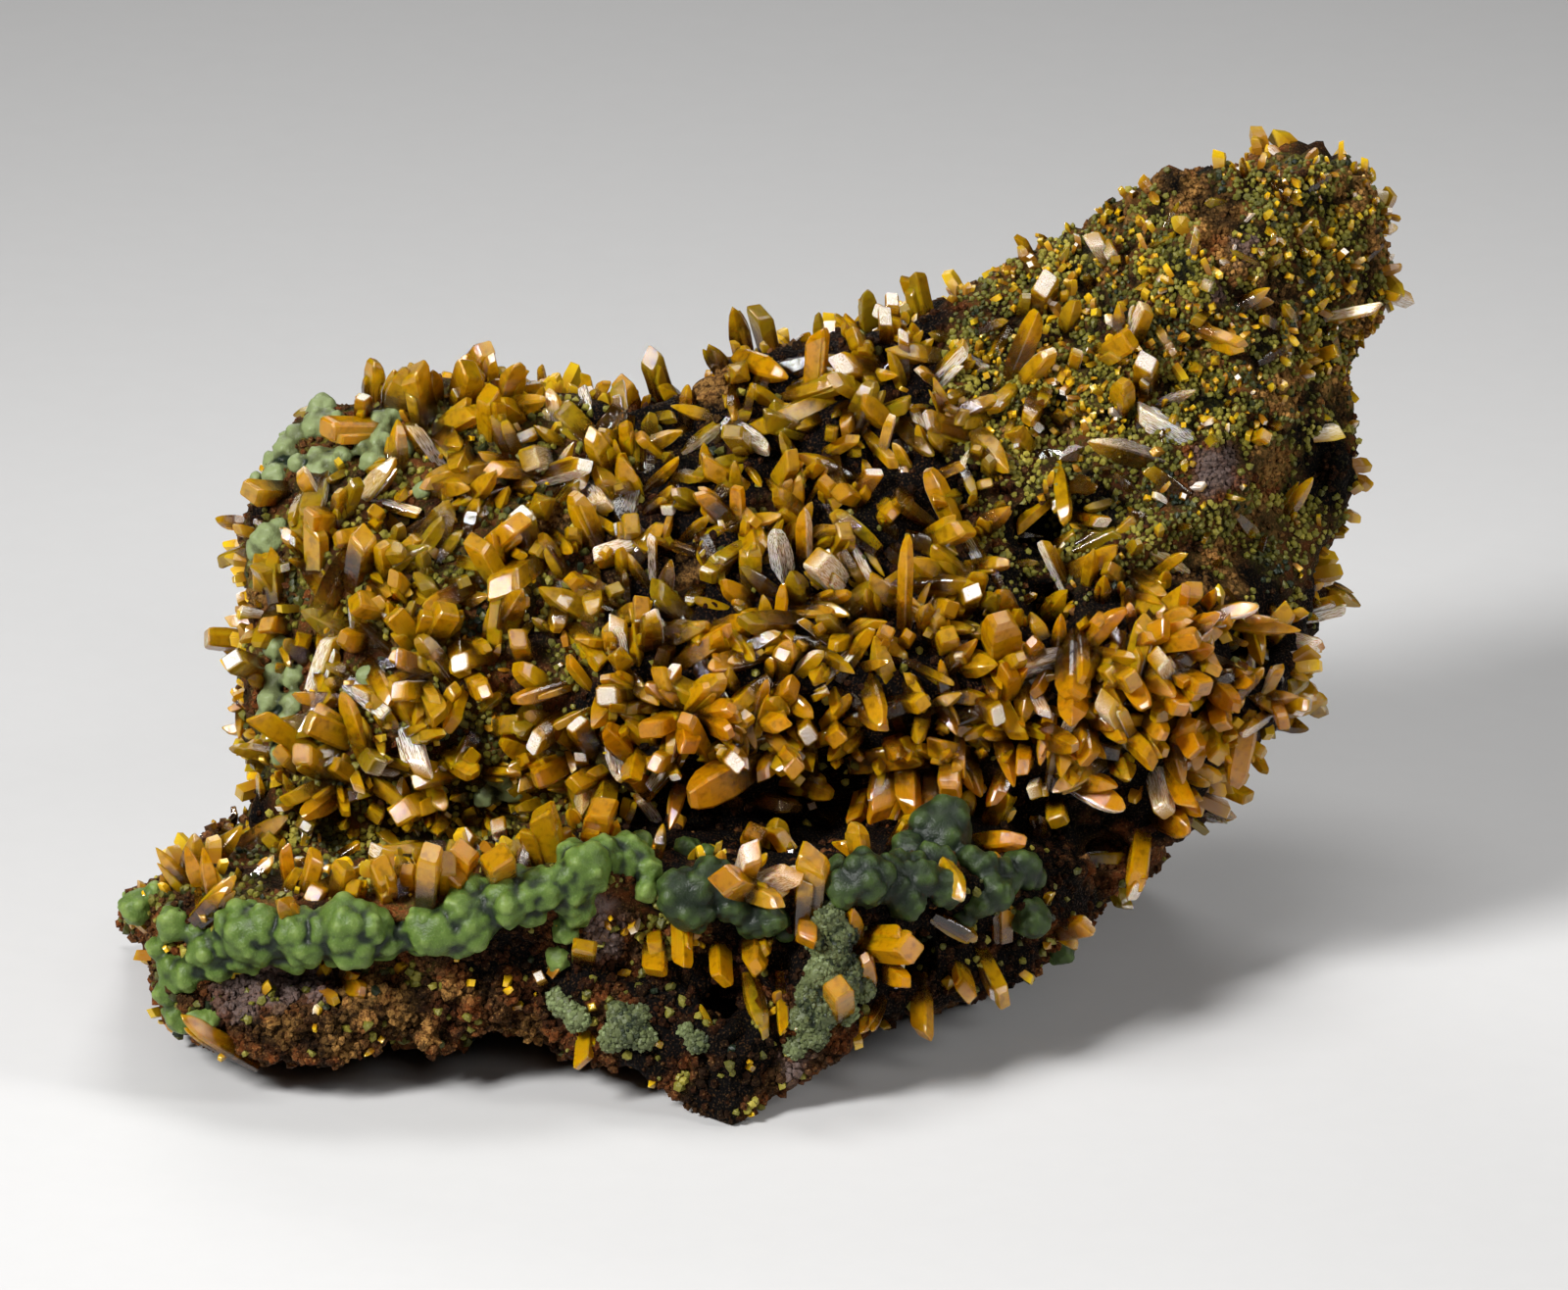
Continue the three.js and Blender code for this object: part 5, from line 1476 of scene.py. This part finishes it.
class SPECIMEN_OT_grains(bpy.types.Operator):
    """Strews green and brown grains and tiny crystals over the rock"""

    bl_idname = "specimen.grains"
    bl_label = "Fine grains"

    def execute(self, context):
        rock = rock_object()
        self.green = Grains(SEEDS["green"])
        self.brown = Grains(SEEDS["brown"])
        self.sugar = Grains(SEEDS["sugar"])
        self.drusy = Druse(SEEDS["drusy"])
        self.random = random.Random(SEEDS["grains"])
        self.cover_zones(tree_of(rock))
        for name, count in SUGAR_GRAINS.items():
            self.cover_beads(name, count)
        self.cover_back(rock.data, context.scene.specimen_sizes.grain_count)
        colours = context.scene.specimen_colours
        greens = (
            ("mimetite_grains", self.green, druse_green(colours)),
            ("mimetite_sugar_grains", self.sugar, sugar_green(colours)),
        )
        for name, grains, material in greens:
            piece = grains.piece(name)
            relief = clouds(grains.centres, 5 * MM) * 0.9 + 0.55
            relief += [self.random.uniform(-0.3, 0.3) for _ in grains.centres]
            keep_relief(piece.data, grains.per_corner(relief))
            finished(piece, material, [])
        brown = self.brown.piece("limonite_grains")
        cover = ground_cover(self.brown.centres, self.brown.normals)
        cover[:, 0] = 0
        cover[:, 1] *= 0.85
        keep_values(brown.data, "cover", self.brown.per_corner(cover))
        finished(brown, limonite_material(colours), [])
        cloudy = wulfenite_material(colours, "wulfenite_grain", False)
        finished(self.drusy.piece("wulfenite_drusy"), cloudy, [])
        return {"FINISHED"}

    def cover_zones(self, rock):
        """Grains on the ground that is seen from the front, by what lies there."""
        rng = self.random
        for corners, spacing, crystals, greens, (small, large) in GRAIN_ZONES.values():
            hits = [
                rock.ray_cast(on_face(x, y, SIGHT_START), INTO_FACE)[:2]
                for x, y in scattered(corners, spacing, rng)
            ]
            hits = [(hit, normal) for hit, normal in hits if hit is not None]
            places, normals = zip(*hits)
            cover = ground_cover(places, normals)
            bare = patch_share(BARE_PATCHES, *face_places(places), 4.0)
            for hit, normal, (green, black, _, sand), naked in zip(places, normals, cover, bare):
                size = rng.uniform(small, large) * GRID_STEP
                grown_over = 1 - max(sand * 0.7, naked)
                if rng.random() < black * 0.6:
                    continue
                if rng.random() < crystals * (1 - black * 0.8) * grown_over:
                    self.tiny_crystal(hit, normal, size * rng.uniform(1.1, 2.0))
                elif rng.random() < greens * (0.2 + green * 1.4) * grown_over:
                    self.green.add(hit + normal * size * 0.25, normal, size)
                else:
                    self.brown.add(hit + normal * size * 0.2, normal, size)

    def cover_beads(self, name, count):
        """Sugar grains on the parts of a bead crust that aren't turned to the rock."""
        rng = self.random
        for place, normal in surface_samples(bpy.data.objects[name].data, count, rng):
            if -normal.dot(INTO_FACE) > -0.2:
                self.sugar.add(place, normal, rng.uniform(0.16, 0.42) * MM)

    def cover_back(self, mesh, count):
        """Grains and patches of tiny crystals on the sides and the back."""
        rng = self.random
        for place, normal in surface_samples(mesh, count, rng):
            if place.z < 1.5 * MM or -normal.dot(INTO_FACE) > 0.15:
                continue
            size = rng.uniform(0.25, 0.7) * MM
            if place.z > 20 * MM and noise.noise(place / (9 * MM)) > 0.18:
                self.tiny_crystal(place, normal, size * 2.2)
            else:
                self.brown.add(place + normal * size * 0.2, normal, size)

    def tiny_crystal(self, place, normal, width):
        rng = self.random
        axis = (normal + wandering(rng, 0.8)).normalized()
        form = rng.choice(("spear", "block", "grain", "block"))
        pale = rng.uniform(0.6, 0.95) if rng.random() < 0.05 else 0.0
        buried = width * 0.3
        length = width * rng.uniform(1.1, 2.2) + buried
        tone = rng.uniform(0.0, 0.3)
        foot = place - axis * buried
        self.drusy.add(foot, axis, length, width, form, tone, pale, 4, buried)


# Soft lights: name, place, size, power.
LIGHTS = (
    ("key_left", (-0.5, -0.52, 0.52), (0.24, 0.18), 1.78),
    ("key_right", (0.6, -0.3, 0.42), (0.18, 0.26), 0.38),
    ("top", (0.05, 0.1, 0.72), (0.35, 0.22), 0.34),
    ("front", (0.12, -0.85, 0.5), (0.3, 0.2), 0.09),
    ("back", (-0.25, 0.75, 0.5), (0.5, 0.3), 0.4),
)
LIGHT_TARGET = (0.0, -0.01, 0.045)
LIGHT_SPREAD = math.radians(70)
SKY_COLOUR, SKY_STRENGTH = (0.9, 0.94, 1.0, 1.0), 0.018

# The floor is flat out to this radius and then curves up into a wall.
FLOOR_RADIUS, WALL_HEIGHT, FLOOR_SIDES = 6.0, 3.0, 64
# The place on the face grid that the camera looks at, how deep it lies, and the picture's width.
VIEW_X, VIEW_Y, VIEW_DEPTH = 800, 658, 20 * MM
VIEW_WIDTH = 1600 * GRID_STEP


def soft_light(name, place, target, size, power):
    data = bpy.data.lights.new(name, "AREA")
    data.shape = "RECTANGLE"
    data.size, data.size_y = size
    data.energy = power
    data.spread = LIGHT_SPREAD
    lamp = new_object(name, data)
    lamp.location = place
    lamp.rotation_euler = (Vector(target) - Vector(place)).to_track_quat("-Z", "Y").to_euler()


class SPECIMEN_OT_stage(bpy.types.Operator):
    """Sets the pale floor, the soft lights and the camera"""

    bl_idname = "specimen.stage"
    bl_label = "Stage"

    def execute(self, context):
        scene = context.scene
        self.make_floor(scene)
        self.make_lights(scene)
        self.make_camera(scene)
        return {"FINISHED"}

    def make_floor(self, scene):
        profile = [(0.5, 0.0), (FLOOR_RADIUS * 0.5, 0.0), (FLOOR_RADIUS, 0.0)]
        for step in range(1, 9):
            angle = math.radians(90) * step / 8
            profile.append((FLOOR_RADIUS + math.sin(angle), 1 - math.cos(angle)))
        profile.append((FLOOR_RADIUS + 1, WALL_HEIGHT))
        points = [(0.0, 0.0, 0.0)]
        for radius, z in profile:
            for side in range(FLOOR_SIDES):
                angle = math.tau * side / FLOOR_SIDES
                points.append((radius * math.cos(angle), radius * math.sin(angle), z))
        faces = [(0, 1 + side, 1 + (side + 1) % FLOOR_SIDES) for side in range(FLOOR_SIDES)]
        faces += [(a, d, c, b) for a, b, c, d in ring_faces(1, len(profile), FLOOR_SIDES)]
        mesh = bpy.data.meshes.new("stage_floor")
        mesh.from_pydata(points, [], faces)
        mesh.shade_smooth()
        floor = new_object("stage_floor", mesh)
        mesh.materials.append(stage_material(scene.specimen_colours))
        floor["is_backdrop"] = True

    def make_lights(self, scene):
        for name, place, size, power in LIGHTS:
            soft_light(name, place, LIGHT_TARGET, size, power)
        world = bpy.data.worlds.new("studio")
        world.use_nodes = True
        background = world.node_tree.nodes["Background"]
        background.inputs["Color"].default_value = SKY_COLOUR
        background.inputs["Strength"].default_value = SKY_STRENGTH
        scene.world = world

    def make_camera(self, scene):
        data = bpy.data.cameras.new("camera")
        data.lens = 800.0
        data.sensor_width = 36.0
        data.clip_start = 0.05
        data.clip_end = 30.0
        distance = data.lens / data.sensor_width * VIEW_WIDTH
        camera = new_object("camera", data)
        camera.location = on_face(VIEW_X, VIEW_Y, VIEW_DEPTH) - INTO_FACE * distance
        camera.rotation_euler = (math.radians(90) - LEAN, 0.0, 0.0)
        scene.camera = camera
        scene.view_settings.view_transform = "Standard"


class SPECIMEN_PT_pieces(bpy.types.Panel):
    """Lists the specimen's pieces, in the order in which they are made"""

    bl_label = "Specimen"
    bl_idname = "SPECIMEN_PT_pieces"
    bl_space_type = "VIEW_3D"
    bl_region_type = "UI"
    bl_category = "Specimen"

    def draw(self, context):
        for step in STEPS:
            self.layout.operator(step.bl_idname)
        for group in (context.scene.specimen_sizes, context.scene.specimen_colours):
            for name in group.bl_rna.properties.keys():
                if name not in ("rna_type", "name"):
                    self.layout.prop(group, name)


STEPS = (
    SPECIMEN_OT_stage,
    SPECIMEN_OT_limonite,
    SPECIMEN_OT_mimetite,
    SPECIMEN_OT_face_crystals,
    SPECIMEN_OT_ledge_crystals,
    SPECIMEN_OT_grains,
)
CLASSES = (SpecimenSizes, SpecimenColours, *STEPS, SPECIMEN_PT_pieces)


def register():
    for item in CLASSES:
        bpy.utils.register_class(item)
    bpy.types.Scene.specimen_sizes = PointerProperty(type=SpecimenSizes)
    bpy.types.Scene.specimen_colours = PointerProperty(type=SpecimenColours)


def unregister():
    del bpy.types.Scene.specimen_colours
    del bpy.types.Scene.specimen_sizes
    for item in reversed(CLASSES):
        bpy.utils.unregister_class(item)


def write_sizes():
    """Works out the box of the solid model and the box of the dressed one as plain lists."""
    boxes = {"cad": CAD_BOX, "visual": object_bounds()}
    plain = {name: [list(corner) for corner in corners] for name, corners in boxes.items()}


def main():
    register()
    bpy.ops.specimen.stage()
    bpy.ops.specimen.limonite()
    bpy.ops.specimen.mimetite()
    bpy.ops.specimen.face_crystals()
    bpy.ops.specimen.ledge_crystals()
    bpy.ops.specimen.grains()
    write_sizes()


if __name__ == "__main__":
    main()
